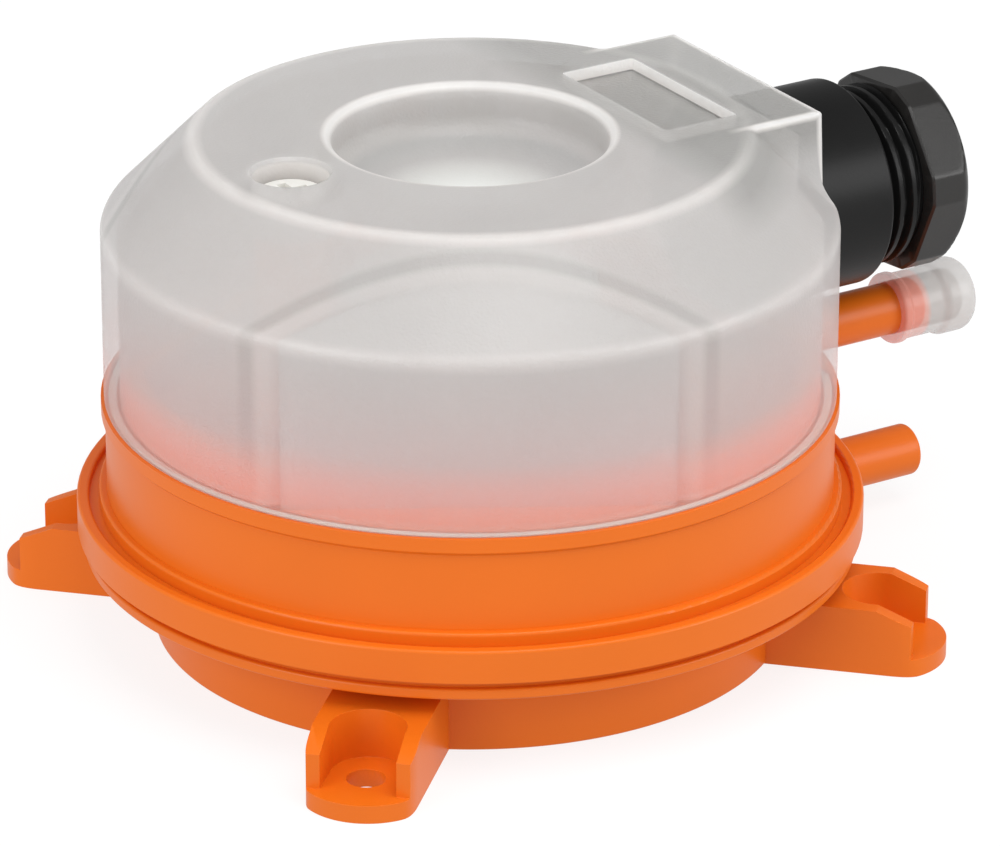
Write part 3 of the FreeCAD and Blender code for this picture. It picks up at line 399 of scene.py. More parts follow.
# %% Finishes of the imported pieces
for part in frame["record"]["subparts"]:
    node_object = nodes[part["node"]]
    node_object.data.materials.clear()
    node_object.data.materials.append(finishes[part["material_slot"]])

# %% [markdown]
# ## Studio
# A pale floor and big soft lamps: one broad lamp above and in front, a second from the left for the
# bright line along the rims, and a white surround. The floor looks white to the camera through
# Light Path, while it still darkens in the object's shadow. A plain white floor would throw so much
# light back that the orange went pale, so the other rays see a darker one.

# %% Floor
floor_points = np.stack(np.meshgrid([-3000.0, 3000.0], [-3000.0, 3000.0], [-0.02], indexing="ij"), axis=-1)
floor = surface("floor", floor_points.reshape(2, 2, 3), wrap_columns=False)
floor_finish = bpy.data.materials.new("studio_floor")
floor_finish.use_nodes = True
tree = floor_finish.node_tree
ground = tree.nodes["Principled BSDF"]
ground.inputs["Base Color"].default_value = (0.2, 0.2, 0.2, 1)
ground.inputs["Roughness"].default_value = 0.9
ground.inputs["Specular IOR Level"].default_value = 0.0
rays = tree.nodes.new("ShaderNodeLightPath")
lift = tree.nodes.new("ShaderNodeMapRange")
lift.inputs["To Min"].default_value = 0.55
lift.inputs["To Max"].default_value = 0.82
ground.inputs["Emission Color"].default_value = (1, 1, 1, 1)
tree.links.new(rays.outputs["Is Camera Ray"], lift.inputs["Value"])
tree.links.new(lift.outputs["Result"], ground.inputs["Emission Strength"])
floor.data.materials.append(floor_finish)
print("floor lies at", round(float(floor_points[0, 0, 0, 2]), 3), "mm")

# %% Surround
world = bpy.data.worlds.new("studio")
world.use_nodes = True
bpy.context.scene.world = world
sky = world.node_tree.nodes["Background"]
seen = world.node_tree.nodes.new("ShaderNodeLightPath")
mirrored = world.node_tree.nodes.new("ShaderNodeMapRange")
mirrored.inputs["To Min"].default_value = 0.62
mirrored.inputs["To Max"].default_value = 0.3
level = world.node_tree.nodes.new("ShaderNodeMapRange")
level.inputs["To Max"].default_value = 1.0
sky.inputs["Color"].default_value = (1, 1, 1, 1)
world.node_tree.links.new(seen.outputs["Is Glossy Ray"], mirrored.inputs["Value"])
world.node_tree.links.new(mirrored.outputs["Result"], level.inputs["To Min"])
world.node_tree.links.new(seen.outputs["Is Camera Ray"], level.inputs["Value"])
world.node_tree.links.new(level.outputs["Result"], sky.inputs["Strength"])
print("surround nodes:", len(world.node_tree.nodes))


# %% Lamps
def soft_lamp(name, place, aim, size, power):
    """Square area lamp at place, in metres, facing aim."""
    light = bpy.data.lights.new(name, "AREA")
    light.shape, light.size, light.energy = "SQUARE", size, power
    lamp = bpy.data.objects.new(name, light)
    bpy.context.scene.collection.objects.link(lamp)
    lamp.location = place
    lamp.rotation_mode = "QUATERNION"
    lamp.rotation_quaternion = (Vector(aim) - Vector(place)).to_track_quat("-Z", "Y")


soft_lamp("top_softbox", (-0.02, -0.3, 0.75), (0, 0, 0.02), 0.5, 2.6)
soft_lamp("left_softbox", (-0.75, -0.15, 0.35), (0, 0, 0.03), 0.5, 2.6)
soft_lamp("right_softbox", (0.5, -0.55, 0.3), (0, 0, 0.03), 0.4, 2.0)

# %% [markdown]
# ## The cover
# The cover is one milky moulding: a drum with a cone above it, cut flat on the gland side, where a
# block rises to the top plane. Seen from above it is star-shaped about the axis, so one radius for
# each angle and height describes it. The drum's radius, the flat face and the block's sides are
# three such radii, and a soft minimum or maximum joins them with the small radii of the mould.
# Joining a turned drum and a box with a Boolean gives the same form, but with a hard crease.

# %% Radii of the cover
block_corner = np.arctan2(BLOCK_HALF, FACE_X)
face_edge = np.arccos(FACE_X / COVER_R)
even = np.linspace(-np.pi, np.pi, 360, endpoint=False)
fans = [side * (spot + np.linspace(-0.04, 0.04, 33)) for spot in (block_corner, face_edge) for side in (-1, 1)]
theta = np.unique(np.round(np.concatenate([even, *fans]), 5))


def soft_min(a, b, k):
    """Smaller of a and b, with the crossing rounded over a width k."""
    h = np.clip(0.5 + 0.5 * (b - a) / k, 0, 1)
    return b + (a - b) * h - k * h * (1 - h)


def soft_max(a, b, k):
    """Larger of a and b, with the crossing rounded over a width k."""
    return -soft_min(-a, -b, k)


def cover_radius(radius, drawn_in, face, half, blend):
    """Radius at each angle: the drum's radius cut at the flat face, or the block's outline where that
    reaches further out. drawn_in shrinks the block at its rim."""
    forward = np.maximum(np.cos(theta), 1e-4)
    to_face = np.where(np.cos(theta) > 0, (face - drawn_in) / forward, 1e4)
    to_side = (half - drawn_in) / np.maximum(np.abs(np.sin(theta)), 1e-4)
    block = np.where(np.cos(theta) > 0, soft_min(to_face, to_side, 0.5), 0.0)
    drum = soft_min(radius, to_face, 0.6)
    return soft_max(drum, block, blend)


print("angles round the cover:", theta.size)


# %% Rows of points and rounded outlines
def star_rows(outline, rule):
    """Points of rows that each have one height and, at every angle, the radius that rule gives."""
    radius = np.stack([rule(r, z) for r, z in outline])
    height = np.broadcast_to(outline[:, 1, None], radius.shape)
    return np.stack([radius * np.cos(theta), radius * np.sin(theta), height], axis=-1)


def rounded(corners, closed=True, steps=5):
    """Outline through (x, y, rounding) corners. A corner with a rounding gives way to an arc tangent to
    both sides, which starts rounding / tan(half the angle) before it and is swept about its centre."""
    data = np.array([(*c, 0.0)[:3] for c in corners], float)
    spots, radii = data[:, :2], data[:, 2]
    out = []
    for k in range(len(spots)):
        here, radius = spots[k], radii[k]
        if radius <= 0 or (not closed and k in (0, len(spots) - 1)):
            out.append(here[None])
            continue
        back, ahead = spots[k - 1] - here, spots[(k + 1) % len(spots)] - here
        back, ahead = back / np.linalg.norm(back), ahead / np.linalg.norm(ahead)
        half = np.arccos(np.clip(back @ ahead, -1, 1)) / 2
        middle = (back + ahead) / np.linalg.norm(back + ahead)
        centre = here + middle * radius / np.sin(half)
        start = here + back * radius / np.tan(half) - centre
        stop = here + ahead * radius / np.tan(half) - centre
        first = np.arctan2(start[1], start[0])
        sweep = (np.arctan2(stop[1], stop[0]) - first + np.pi) % (2 * np.pi) - np.pi
        angle = first + sweep * np.linspace(0, 1, steps + 1)
        out.append(centre + radius * np.stack([np.cos(angle), np.sin(angle)], axis=1))
    return np.concatenate(out)


# %% Outer skin and well of the cover
SKIN = WALL * np.hypot(1, SLOPE)
CEILING_Z = TOP_Z - WALL
KNEE_Z = CONE_Z - (SKIN - WALL) / SLOPE
CEILING_R = COVER_R - SKIN - SLOPE * (CEILING_Z - CONE_Z)
NOSE_Z = TOP_Z - 3.0
RIM_EASE, NOSE_REACH, BOWL_TOP, BOWL_DEPTH = 0.35, 3.0, 3.4, 4.6

outside = rounded([
    (COVER_R - 0.6, LEDGE_Z), (COVER_R, LEDGE_Z, 0.25), (COVER_R, CONE_Z, 1.6),
    (TOP_R, TOP_Z, 1.5), (TOP_R - 3, TOP_Z),
], closed=False, steps=8)
wall_share = np.linspace(0.05, 0.95, 12)[:, None]
lower_wall = wall_share * np.array([0, CONE_Z - LEDGE_Z]) + np.array([COVER_R, LEDGE_Z])
split = np.searchsorted(outside[:, 1], LEDGE_Z + 1)
outside = np.concatenate([outside[:split], lower_wall, outside[split:]])


def faced(r, face, blend):
    """The radius r, cut at the flat face on the gland side; its corner is rounded over blend."""
    return np.where(np.cos(theta) > 0, soft_min(r, face / np.maximum(np.cos(theta), 1e-4), blend), r)


def plain_rule(r, z):
    """The same radius r at every angle."""
    return np.full(theta.size, r)


def outer_rule(r, z):
    """Radii of the outer skin: the faced drum low down, the block's outline from the cone up. The rim
    of the top is drawn in along a quarter circle, e - sqrt(e^2 - h^2) at h into its rounding e."""
    rim = RIM_EASE * np.clip((z - (TOP_Z - RIM_EASE)) / RIM_EASE, 0, 1)
    drawn = RIM_EASE - np.sqrt(np.maximum(RIM_EASE ** 2 - rim ** 2, 0))
    inside_top = 0.0 if r > TOP_R - 2.9 else 3.0
    blended = cover_radius(r, drawn + inside_top, FACE_X, BLOCK_HALF, 1.2)
    share = np.clip((z - (CONE_Z - NOSE_REACH)) / 1.0, 0, 1)
    return faced(r, FACE_X, 0.6) * (1 - share) + blended * share


outer_rows = star_rows(outside, outer_rule)
well = rounded([(WELL_R + 3.0, TOP_Z), (WELL_R, TOP_Z, 1.2), (WELL_R, TOP_Z - BOWL_TOP)], closed=False, steps=7)


def bowl_outline(radius, rim_z):
    """Dish from its rim to the axis: (R cos(t)^0.75, rim - depth * sin(t)) for t up to 90 degrees."""
    t = np.linspace(0, 1, 22)[1:] * np.pi / 2
    outline = np.stack([radius * np.cos(t) ** 0.75, rim_z - BOWL_DEPTH * np.sin(t)], axis=1)
    outline[-1, 0] = 0.0
    return outline


well_rows = star_rows(np.concatenate([well, bowl_outline(WELL_R, TOP_Z - BOWL_TOP)]), plain_rule)
print("cover rows:", outer_rows.shape, well_rows.shape)

# %% [markdown]
# ## The cover's inner skin
# A real moulding has a wall of one thickness, measured square to the skin, and a thicker roof over
# the label window. Solidify could give the even wall, but not the thick roof or the hollow of the
# block, so the inner rows are worked out like the outer ones. One grid then runs from the bottom of
# the bowl over the top, down outside, up inside and back under the bowl, and closes the shell.

# %% Inner skin of the cover
def inner_rule(r, z):
    """Radii of the inner skin: the faced drum, or the hollow of the block between its two levels."""
    if z < KNEE_Z - NOSE_REACH or z > NOSE_Z + 0.01:
        return faced(r, FACE_X - WALL, 0.4)
    return cover_radius(r, 0.0, FACE_X - WALL, BLOCK_HALF - WALL, 0.6)


drum_in_r, under_r = COVER_R - WALL, WELL_R + WALL
cone_z = np.linspace(KNEE_Z, NOSE_Z, 8)
inner_outline = np.concatenate([
    [(drum_in_r, LEDGE_Z), (drum_in_r, LEDGE_Z + 8), (drum_in_r, KNEE_Z - 3.01), (drum_in_r, KNEE_Z - 2.9)],
    np.stack([COVER_R - SKIN - SLOPE * (cone_z - CONE_Z), cone_z], axis=1),
])
inner_rows = star_rows(inner_outline, inner_rule)
under_z = TOP_Z - BOWL_TOP - WALL
roof = np.array([(CEILING_R, CEILING_Z), (under_r + 0.5, CEILING_Z), (under_r, CEILING_Z - 0.5), (under_r, under_z)])
under_rows = star_rows(np.concatenate([roof, bowl_outline(under_r, under_z)]), plain_rule)
# under the block the roof is thicker, so the roof rows dip there
dip = np.clip((under_rows[..., 0] - 16.7) / 0.4, 0, 1) * (under_rows[..., 2] > NOSE_Z)
under_rows[..., 2] -= dip * (under_rows[..., 2] - NOSE_Z)
shell_points = np.concatenate([well_rows[::-1], outer_rows[::-1], inner_rows, under_rows])
cover = surface("cover_moulding", shell_points)
print("cover points:", len(cover.data.vertices))

# %% [markdown]
# ## Turned pieces, prisms and Booleans
# Tubes, rings and screws are turned; ribs, pockets and walls are prisms. Two helpers make them with
# their small roundings already in the outline, where a Bevel modifier would round every edge alike.
# A third joins or cuts closed solids, and a fourth puts on the finish, hangs the piece on its body
# and hides the imported pieces that it stands for.

# %% Turned pieces
def turned(name, outline, along="z", at=(0.0, 0.0, 0.0), columns=288):
    """Lathe: the point at outline step i and angle a is (r_i cos a, r_i sin a, h_i), or (h_i, r_i cos a,
    r_i sin a) for a part turned about X. An outline that ends on the axis twice closes at its poles;
    any other is closed on itself."""
    angle = np.linspace(0, 2 * np.pi, columns, endpoint=False)
    radius, height = outline[:, 0, None], outline[:, 1, None]
    across, up = radius * np.cos(angle), radius * np.sin(angle)
    level = np.broadcast_to(height, across.shape)
    axes = (across, up, level) if along == "z" else (level, across, up)
    points = np.stack(axes, axis=-1) + np.array(at)
    poles = outline[0, 0] < 1e-6 and outline[-1, 0] < 1e-6
    return surface(name, points, wrap_rows=not poles)


# %% Prisms
def slab(name, outline, low, high, rounding=0.2, steps=3, axes="xyz"):
    """Prism with softened rims: the outline at each row is drawn in along its normals by
    rounding * (1 - sin t) while the height goes by rounding * (1 - cos t); fans to the middle close
    both ends. axes tells which way the outline's x, y and the height point."""
    ahead = np.roll(outline, -1, axis=0) - outline
    ahead = ahead / np.linalg.norm(ahead, axis=1, keepdims=True)
    behind = np.roll(ahead, 1, axis=0)
    turn = ahead + behind
    normal = np.stack([-turn[:, 1], turn[:, 0]], axis=1)
    normal = normal / np.maximum(np.sum(normal * np.stack([-ahead[:, 1], ahead[:, 0]], axis=1), axis=1), 0.3)[:, None]
    area = np.sum(outline[:, 0] * np.roll(outline[:, 1], -1) - np.roll(outline[:, 0], -1) * outline[:, 1])
    inwards = normal * np.sign(area)
    t = np.linspace(0, np.pi / 2, steps + 1)
    draw = np.concatenate([rounding * (1 - np.sin(t)), rounding * (1 - np.sin(t))[::-1]])
    level = np.concatenate([low + rounding * (1 - np.cos(t)), high - rounding * (1 - np.cos(t))[::-1]])
    plan = outline[None] + inwards[None] * draw[:, None, None]
    middle = np.broadcast_to(outline.mean(axis=0), (1, *outline.shape))
    plan = np.concatenate([middle, plan, middle])
    level = np.concatenate([[low], level, [high]])
    flat = [plan[..., 0], plan[..., 1], np.broadcast_to(level[:, None], plan.shape[:2])]
    order = ["xyz".index(letter) for letter in axes]
    points = np.stack([flat[order.index(i)] for i in range(3)], axis=-1)
    return surface(name, points)


# %% Joining, cutting and dressing
def combine(base, others, how):
    """Joins ('UNION') or cuts ('DIFFERENCE') closed pieces into base, or keeps what they share with it
    ('INTERSECT'), one solid at a time, and deletes them."""
    for other in others:
        step = base.modifiers.new("step", "BOOLEAN")
        step.operation, step.object, step.solver = how, other, "EXACT"
        graph = bpy.context.evaluated_depsgraph_get()
        mesh = bpy.data.meshes.new_from_object(base.evaluated_get(graph))
        base.modifiers.remove(step)
        old, base.data = base.data, mesh
        bpy.data.meshes.remove(old)
        bpy.data.objects.remove(other)
    clean(base.data)
    base.data.name = base.name


def dress(piece, body, material, stands_for):
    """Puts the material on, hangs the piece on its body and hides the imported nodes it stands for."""
    piece.data.materials.clear()
    piece.data.materials.append(material)
    even = piece.modifiers.new("even_normals", "WEIGHTED_NORMAL")
    even.keep_sharp = True
    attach(piece, body)
    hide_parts(*stands_for)
    print(piece.name, "has", len(piece.data.polygons), "faces")


# %% [markdown]
# ## Openings and walls inside the cover
# The label window, the screw well and the gland hole are cut from the closed shell, and the two
# flat inner walls and the screw tube are joined to it. Booleans on closed solids keep the result
# one clean moulding.

# %% Tools for the window, the screw tube and the gland hole
WINDOW_X0, WINDOW_X1, WINDOW_HALF, WINDOW_DEPTH = 18.7, 28.2, 10.7, 1.55
window_plan = rounded([
    (WINDOW_X0, -WINDOW_HALF, 0.4), (WINDOW_X1, -WINDOW_HALF, 0.4),
    (WINDOW_X1, WINDOW_HALF, 0.4), (WINDOW_X0, WINDOW_HALF, 0.4),
], steps=3)
window = slab("window_tool", window_plan, TOP_Z - WINDOW_DEPTH, TOP_Z + 2, 0.1)
TUBE_R, TUBE_TOP, SHANK_HOLE_R, EASE = 6.05, TOP_Z - 0.9, 2.1, 0.35
screw_tube = turned("screw_tube", rounded([
    (0, SCREW_SEAT_Z - 1.6), (TUBE_R, SCREW_SEAT_Z - 1.6, 0.3), (TUBE_R, TUBE_TOP), (0, TUBE_TOP),
], closed=False), at=(SCREW_X, 0, 0), columns=72)
# the seat lies 0.04 mm under the screw's head, so the two faces don't coincide
seat_z = SCREW_SEAT_Z - 0.04
screw_hole = turned("screw_hole", rounded([
    (0, SCREW_SEAT_Z - 3), (SHANK_HOLE_R, SCREW_SEAT_Z - 3), (SHANK_HOLE_R, seat_z, 0.2),
    (SCREW_WELL_R, seat_z, 0.2), (SCREW_WELL_R, TOP_Z - EASE), (SCREW_WELL_R + EASE, TOP_Z + 0.02),
    (SCREW_WELL_R + EASE, TOP_Z + 1), (0, TOP_Z + 1),
], closed=False), at=(SCREW_X, 0, 0), columns=72)
GLAND_Z, GLAND_HOLE_R = 42.4, 8.05
gland_hole_outline = np.array([(0, 32.0), (GLAND_HOLE_R, 32.0), (GLAND_HOLE_R, 38.0), (0, 38.0)])
gland_hole = turned("gland_hole", gland_hole_outline, along="x", at=(0, 0, GLAND_Z), columns=96)
print("tool faces:", [len(tool.data.polygons) for tool in (window, screw_tube, screw_hole, gland_hole)])


# %% Inner walls, and the finished cover
def web(name, side):
    """Flat wall inside the skin. Its height over the place u along it is where the sloping inner skin
    stands at the distance sqrt(reach^2 + u^2) from the axis; four corners make each cross-section."""
    u = np.linspace(-24.2, 24.2, 61)
    reach = np.array([WEB_REACH - WEB_T, WEB_REACH, WEB_REACH, WEB_REACH - WEB_T])
    distance = np.hypot(WEB_REACH - WEB_T / 2, u)
    top = np.minimum(CONE_Z + (COVER_R - SKIN * 0.4 - distance) / SLOPE, TOP_Z - 1.0)
    out, along = np.broadcast_to(reach, (61, 4)), np.broadcast_to(u[:, None], (61, 4))
    height = np.stack([np.full(61, LEDGE_Z), np.full(61, LEDGE_Z), top, top], axis=1)
    c, s = np.cos(side * 2 * np.pi / 3), np.sin(side * 2 * np.pi / 3)
    points = np.stack([out * c - along * s, out * s + along * c, height], axis=-1)
    ends = points[[0, -1]].mean(axis=1, keepdims=True).repeat(4, axis=1)
    return surface(name, np.concatenate([ends[:1], points, ends[1:]]))


combine(cover, [gland_hole], "DIFFERENCE")
combine(cover, [screw_tube, web("web_a", 1), web("web_b", -1)], "UNION")
combine(cover, [window, screw_hole], "DIFFERENCE")
dress(cover, "cover", frosted, ["cover"])

# %% [markdown]
# ## The base and its feet
# The base is turned: a flat underside with a shallow ring-shaped recess, a wall and a thin flange.
# Eight ribs cross the recess, as moulders stiffen a thin floor.

# %% Base shell
BASE_R, CHAMBER_R, FLANGE_R = 35.8, 33.4, 43.6
FLANGE_Z, BASE_TOP_Z, FLOOR_Z = 9.8, 11.05, 2.2
base = turned("base_moulding", rounded([
    (0, 0), (7, 0, 0.15), (7, 0.7, 0.1), (29, 0.7, 0.1), (29, 0, 0.15),
    (BASE_R, 0, 0.3), (BASE_R, FLANGE_Z, 0.4), (FLANGE_R, FLANGE_Z, 0.3), (FLANGE_R, BASE_TOP_Z, 0.3),
    (CHAMBER_R, BASE_TOP_Z, 0.2), (CHAMBER_R, FLOOR_Z, 0.5), (0, FLOOR_Z),
], closed=False, steps=4))
ribs = []
for step in range(8):
    c, s = np.cos(step * np.pi / 4), np.sin(step * np.pi / 4)
    rib_plan = np.array([(6.5, -0.7), (29.5, -0.7), (29.5, 0.7), (6.5, 0.7)]) @ np.array([[c, s], [-s, c]])
    ribs.append(slab("rib", rib_plan, 0.05, 1.2, 0.1))
print("ribs under the base:", len(ribs))

# %% [markdown]
# ## One foot
# Each foot is cut out like the real one: its side view and its plan are two prisms, and where they
# meet is the foot. A pocket for the screw head and the hole are taken out, and a bevel softens every
# edge, because moulded edges catch a line of light. The foot is made once and turned in four steps,
# so that all four are alike; the side view is a little wider than the plan, since a Boolean goes
# wrong where two faces lie in one plane.

# %% One foot
FOOT_ROOT, FOOT_TIP, FOOT_HALF, FOOT_END_R = 34.6, 54.6, 6.0, 7.6
PLATE_T, WALL_TOP, WALL_END, SLOPE_START, END_DROP = 2.1, 7.8, 51.6, 47.6, 1.7
POCKET_X, POCKET_R, HOLE_X, HOLE_R = 47.0, 4.2, 48.0, 2.15


def soften(piece, width, segments=3):
    """Bevels the edges of a closed piece that turn by more than 30 degrees."""
    bevel = piece.modifiers.new("bevel", "BEVEL")
    bevel.width, bevel.segments, bevel.limit_method = width * MM, segments, "ANGLE"
    bevel.angle_limit = np.radians(30)
    graph = bpy.context.evaluated_depsgraph_get()
    mesh = bpy.data.meshes.new_from_object(piece.evaluated_get(graph))
    piece.modifiers.clear()
    old, piece.data = piece.data, mesh
    bpy.data.meshes.remove(old)
    clean(piece.data)


side_view = np.array([
    (FOOT_ROOT, 0), (FOOT_TIP, 0), (FOOT_TIP, PLATE_T), (WALL_END, PLATE_T),
    (WALL_END, WALL_TOP - END_DROP), (SLOPE_START, WALL_TOP), (FOOT_ROOT, WALL_TOP),
])
foot = slab("foot", side_view, -FOOT_HALF - 1, FOOT_HALF + 1, 0.0, axes="xzy")
bend = np.linspace(-np.pi / 2, np.pi / 2, 49)
end_reach = soft_min(FOOT_END_R, FOOT_HALF / np.maximum(np.abs(np.sin(bend)), 0.01), 1.2)
end_arc = np.stack([FOOT_TIP - FOOT_END_R + end_reach * np.cos(bend), end_reach * np.sin(bend)], axis=1)
foot_plan = np.concatenate([[(FOOT_ROOT - 1, -FOOT_HALF)], end_arc, [(FOOT_ROOT - 1, FOOT_HALF)]])
back = np.linspace(np.pi / 2, 3 * np.pi / 2, 33)
pocket_arc = np.stack([POCKET_X + POCKET_R * np.cos(back), POCKET_R * np.sin(back)], axis=1)
pocket = np.concatenate([pocket_arc, [(FOOT_TIP + 2, -POCKET_R), (FOOT_TIP + 2, POCKET_R)]])
combine(foot, [slab("foot_plan", foot_plan, -1, WALL_TOP + 1, 0.0)], "INTERSECT")
hole_outline = np.array([(0, -1.0), (HOLE_R, -1.0), (HOLE_R, 4.0), (0, 4.0)])
hole = turned("foot_hole", hole_outline, at=(HOLE_X, 0, 0), columns=48)
combine(foot, [slab("foot_pocket", pocket, PLATE_T, WALL_TOP + 2, 0.0), hole], "DIFFERENCE")
soften(foot, 0.35)
print("foot faces:", len(foot.data.polygons))

# %% Feet and hose stub joined to the base
feet = []
for step in range(4):
    mesh = foot.data.copy()
    mesh.transform(Matrix.Rotation(np.pi / 4 + step * np.pi / 2, 4, "Z"))
    feet.append(new_object("foot_copy", mesh))
bpy.data.objects.remove(foot)
STUB_Z, STUB_R, STUB_TIP = 6.25, 3.05, 60.5
stub = turned("low_stub", rounded([
    (0, 34.4), (3.75, 34.4), (3.75, 44.9, 0.3), (STUB_R, 44.9, 0.15), (STUB_R, STUB_TIP, 0.5), (0, STUB_TIP),
], closed=False), along="x", at=(0, 0, STUB_Z), columns=72)
stub_bore = turned("low_stub_bore", np.array([
    (0, 31.0), (1.5, 31.0), (1.5, STUB_TIP - 0.25), (1.8, STUB_TIP + 0.05), (1.8, 62.0), (0, 62.0),
]), along="x", at=(0, 0, STUB_Z), columns=48)
combine(base, ribs + feet + [stub], "UNION")
combine(base, [stub_bore], "DIFFERENCE")
dress(base, "housing", orange, ["base_housing"])

# %% [markdown]
# ## The cable gland
# Seen along its axis, every ring of the gland has one radius for each angle. On the body that radius
# is constant except on the bare thread, where a ridge winds round: it peaks where the place along the
# axis, counted in pitches, runs level with the angle, counted in turns. On the nut the radius is the
# nearest of twelve flats, six long and six short, and a dome trims it at the end. A Screw modifier
# would wind a thread as well, but its ends need cutting and joining, and this one dies out by itself.

# %% Rings about the gland's axis
def rings(name, place, radius, angle):
    """Closed mesh of rings about the gland's axis: point (x_i, r_ij cos a_j, z + r_ij sin a_j)."""
    across, up = radius * np.cos(angle), radius * np.sin(angle) + GLAND_Z
    along = np.broadcast_to(place[:, None], radius.shape)
    return surface(name, np.stack([along, across, up], axis=-1), wrap_rows=True)


print("gland axis lies at", GLAND_Z, "mm")


# %% Gland body with its bare thread
THREAD_R, RIDGE_H, PITCH, THREAD_X0, THREAD_X1 = 9.5, 0.95, 1.8, 49.5, 54.5
BORE_R, SEAT_R, BODY_R, BODY_FRONT, GLAND_TIP = 5.6, 7.4, 12, 49.2, 57.8
angle = np.linspace(0, 2 * np.pi, 240, endpoint=False)
thread_x = np.arange(THREAD_X0, 54.7, 0.09)
body_outline = np.concatenate([
    rounded([
        (BORE_R, 50.4), (BORE_R, 29.5, 0.2), (7.9, 29.5, 0.5), (7.9, 37.9), (10.45, 37.9), (10.45, FACE_X),
        (BODY_R, FACE_X, 0.3), (BODY_R, BODY_FRONT, 0.5), (THREAD_R, BODY_FRONT, 0.2), (THREAD_R, 49.45),
    ], closed=False),
    np.stack([np.full(thread_x.size, THREAD_R), thread_x], axis=1),
    rounded([(THREAD_R, 54.8), (THREAD_R, GLAND_TIP, 0.5), (SEAT_R, GLAND_TIP, 0.15), (SEAT_R, 50.4)], closed=False),
])
place, radius = body_outline[:, 1], np.repeat(body_outline[:, :1], angle.size, axis=1)
phase = (place[:, None] - THREAD_X0) / PITCH - angle / (2 * np.pi)
flank = np.abs((phase % 1) - 0.5) * PITCH
ridge = np.clip((0.7 - flank) / 0.45, 0, 1)
ridge = ridge * ridge * (3 - 2 * ridge)
runout = np.clip((place - THREAD_X0) / 0.3, 0, 1) * np.clip((THREAD_X1 - place) / 0.3, 0, 1)
bare = runout * (body_outline[:, 0] > 9.4)
gland_body = rings("gland_body_moulding", place, radius + RIDGE_H * ridge * bare[:, None], angle)
dress(gland_body, "cover", black, ["gland_body"])

# %% Gland nut
NUT_X, NUT_FLAT, NUT_END = 54.8, 59.0, 61.2
CORNER_R, HALF_CORNER, PHASE = 11.77, 7.8, 54.2
middles = np.radians(PHASE + 30 * np.arange(12))
half_turns = np.where(np.arange(12) % 2 == 0, HALF_CORNER, 30 - HALF_CORNER)
away = CORNER_R * np.cos(np.radians(half_turns))
sixths = PHASE + 60 * np.arange(6)
corners = np.radians(np.concatenate([sixths - HALF_CORNER, sixths + HALF_CORNER])) % (2 * np.pi)
close_by = [corners + step for step in (-0.016, -0.008, 0, 0.008, 0.016)]
angle = np.sort(np.concatenate([np.linspace(0, 2 * np.pi, 180, endpoint=False), *close_by]))
toward = np.cos(angle[:, None] - middles)
reach = np.sort(np.where(toward > 0.2, away / np.maximum(toward, 0.2), 99.0), axis=1)
flats = soft_min(reach[:, 0], reach[:, 1], 0.12)
# the dome's outline is a Bezier arc with three points: (1-t)^2 A + 2 t (1-t) B + t^2 C
t = np.linspace(0, 1, 12)[:, None]
dome_start, dome_pull, dome_end = np.array([(CORNER_R, NUT_FLAT), (11.0, 60.75), (8.0, NUT_END)])
dome = (1 - t) ** 2 * dome_start + 2 * t * (1 - t) * dome_pull + t ** 2 * dome_end
nut_outline = np.concatenate([
    rounded([(9.6, NUT_X, 0.2), (CORNER_R, NUT_X, 0.01), (CORNER_R, NUT_X + 0.25)], closed=False),
    [(CORNER_R, 55.5), (CORNER_R, 57.0), (CORNER_R, 58.5)], dome,
    rounded([(7.6, NUT_END), (5.1, NUT_END, 0.4), (5.1, 58.35), (9.6, 58.35), (9.6, 55.0)], closed=False),
])
place, limit = nut_outline[:, 1], nut_outline[:, :1]
front = 0.3 * np.clip(1 - (place[:, None] - NUT_X) / 0.3, 0, 1) ** 2
radius = np.where(limit > 9.9, soft_min(limit, flats - front, 0.12), limit)
radius = np.where(limit <= 9.9, limit, radius)
nut = rings("gland_nut_moulding", place, radius, angle)
# the nut wears the lighter copy of black nylon, painted light
dress(nut, "gland_nut", black_painted_lighter, ["gland_nut"])

# %% [markdown]
# ## Cap and cover screw
# The cap is a soft moulding pushed over the upper stub: thin at its mouth, thicker at the closed end.
# Its wall is real, so the stub shows through it with the right edges. The screw has a pan head with
# a cross recess, cut out by two crossed blocks. Both are small in the picture, yet a plain disc in
# the screw well would give the model away.

# %% Port cap
cap = turned("port_cap_moulding", rounded([
    (0, 65.7), (3.1, 65.7, 0.5), (3.1, 56.8, 0.1), (4.2, 56.8, 0.35), (4.25, 57.7, 0.5),
    (3.95, 58.1, 0.6), (3.95, 62.4, 1.0), (4.4, 63.2, 1.2), (4.4, 67.3, 1.6), (0, 67.3),
], closed=False, steps=6), along="x", at=(0, 0, 24.85), columns=96)
dress(cap, "port_cap", soft_clear, ["port_cap"])

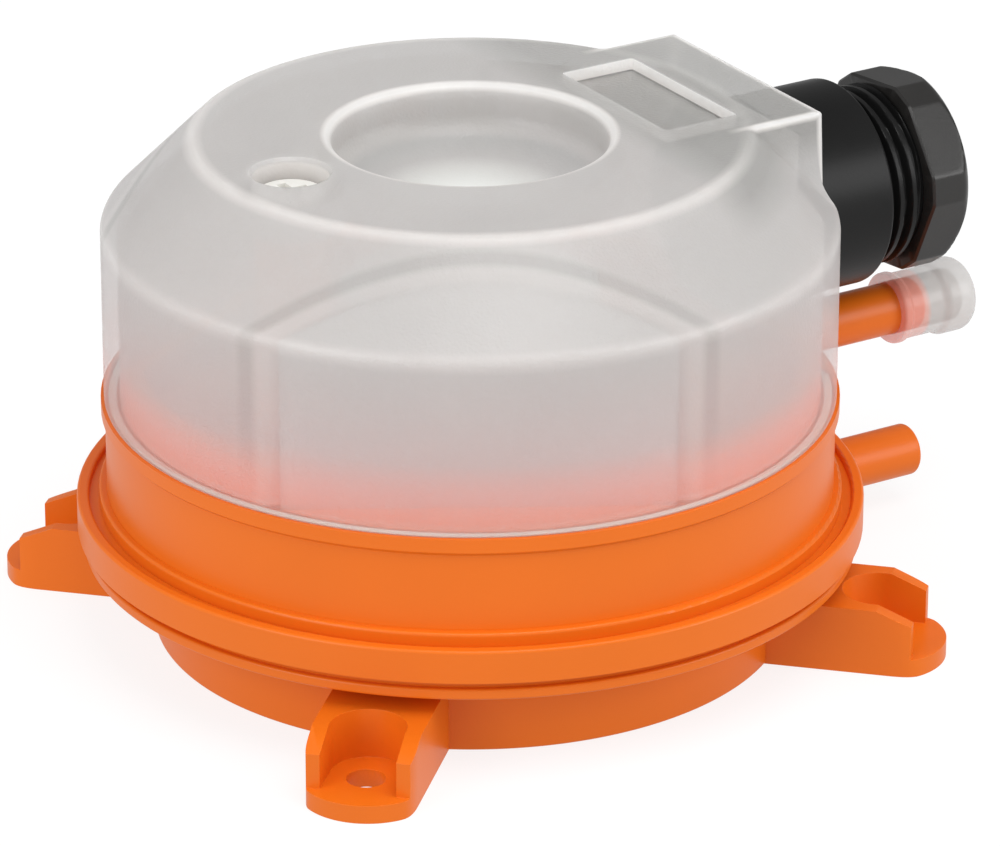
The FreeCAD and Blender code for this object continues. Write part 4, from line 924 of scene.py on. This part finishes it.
# %% Cover screw
screw = turned("cover_screw_turned", rounded([
    (0, 37.6), (1.2, 37.6), (1.9, 38.3), (1.9, SCREW_SEAT_Z), (3.9, SCREW_SEAT_Z, 0.15), (3.9, 56.0, 0.7), (0, 56.0),
], closed=False), at=(SCREW_X, 0, 0), columns=72)
arm = np.array([(-2.2, -0.55), (2.2, -0.55), (2.2, 0.55), (-2.2, 0.55)])
cross = [slab("cross", arm_plan + (SCREW_X, 0), 54.5, 57.0, 0.05) for arm_plan in (arm, arm[:, ::-1])]
combine(screw, cross, "DIFFERENCE")
dress(screw, "cover_screw", white, ["cover_screw"])

# %% [markdown]
# ## The range spring
# The spring is squeezed from below by the plate and from above by the retainer, so no single body
# can carry it. It is made as two tubes along one helix, a lower and an upper half that meet at the
# middle.

# %% One stretch of the spring
WIRE_R, COIL_R, TURNS, SPRING_LOW, SPRING_HIGH = 0.5, 5.2, 6.5, 15.1, 29.5


def helix(name, first, last):
    """Tube along the helix (R cos a, R sin a, z), a and z growing together. Each ring lies in the plane
    of the outward direction o and the normal n = o x t, t being the tangent: centre + r (o cos b + n sin b)."""
    share = np.linspace(first, last, 241)
    angle = share * TURNS * 2 * np.pi
    rise = (SPRING_HIGH - SPRING_LOW) / (TURNS * 2 * np.pi)
    outward = np.stack([np.cos(angle), np.sin(angle), np.zeros_like(angle)], axis=1)
    tangent = np.stack([-COIL_R * np.sin(angle), COIL_R * np.cos(angle), np.full_like(angle, rise)], axis=1)
    normal = np.cross(outward, tangent / np.linalg.norm(tangent, axis=1, keepdims=True))
    centre = COIL_R * outward + np.stack([0 * angle, 0 * angle, SPRING_LOW + rise * angle], axis=1)
    b = np.linspace(0, 2 * np.pi, 14, endpoint=False)[:, None]
    points = centre[:, None] + WIRE_R * (outward[:, None] * np.cos(b) + normal[:, None] * np.sin(b))
    ends = centre[[0, -1], None].repeat(14, axis=1)
    return surface(name, np.concatenate([ends[:1], points, ends[1:]]))


# %% Range spring in two halves
for name, first, last, lower_body, upper_body, start, stop in (
    ("spring_lower", 0.0, 0.5, "plate", "housing", 15.7, 22.2),
    ("spring_upper", 0.5, 1.0, "housing", "retainer", 22.4, 28.9),
):
    half = helix(name, first, last)
    half.data.materials.append(steel)
    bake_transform(half)
    if first == 0.0:
        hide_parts("range_spring")
    print(name, "has", len(half.data.polygons), "faces")
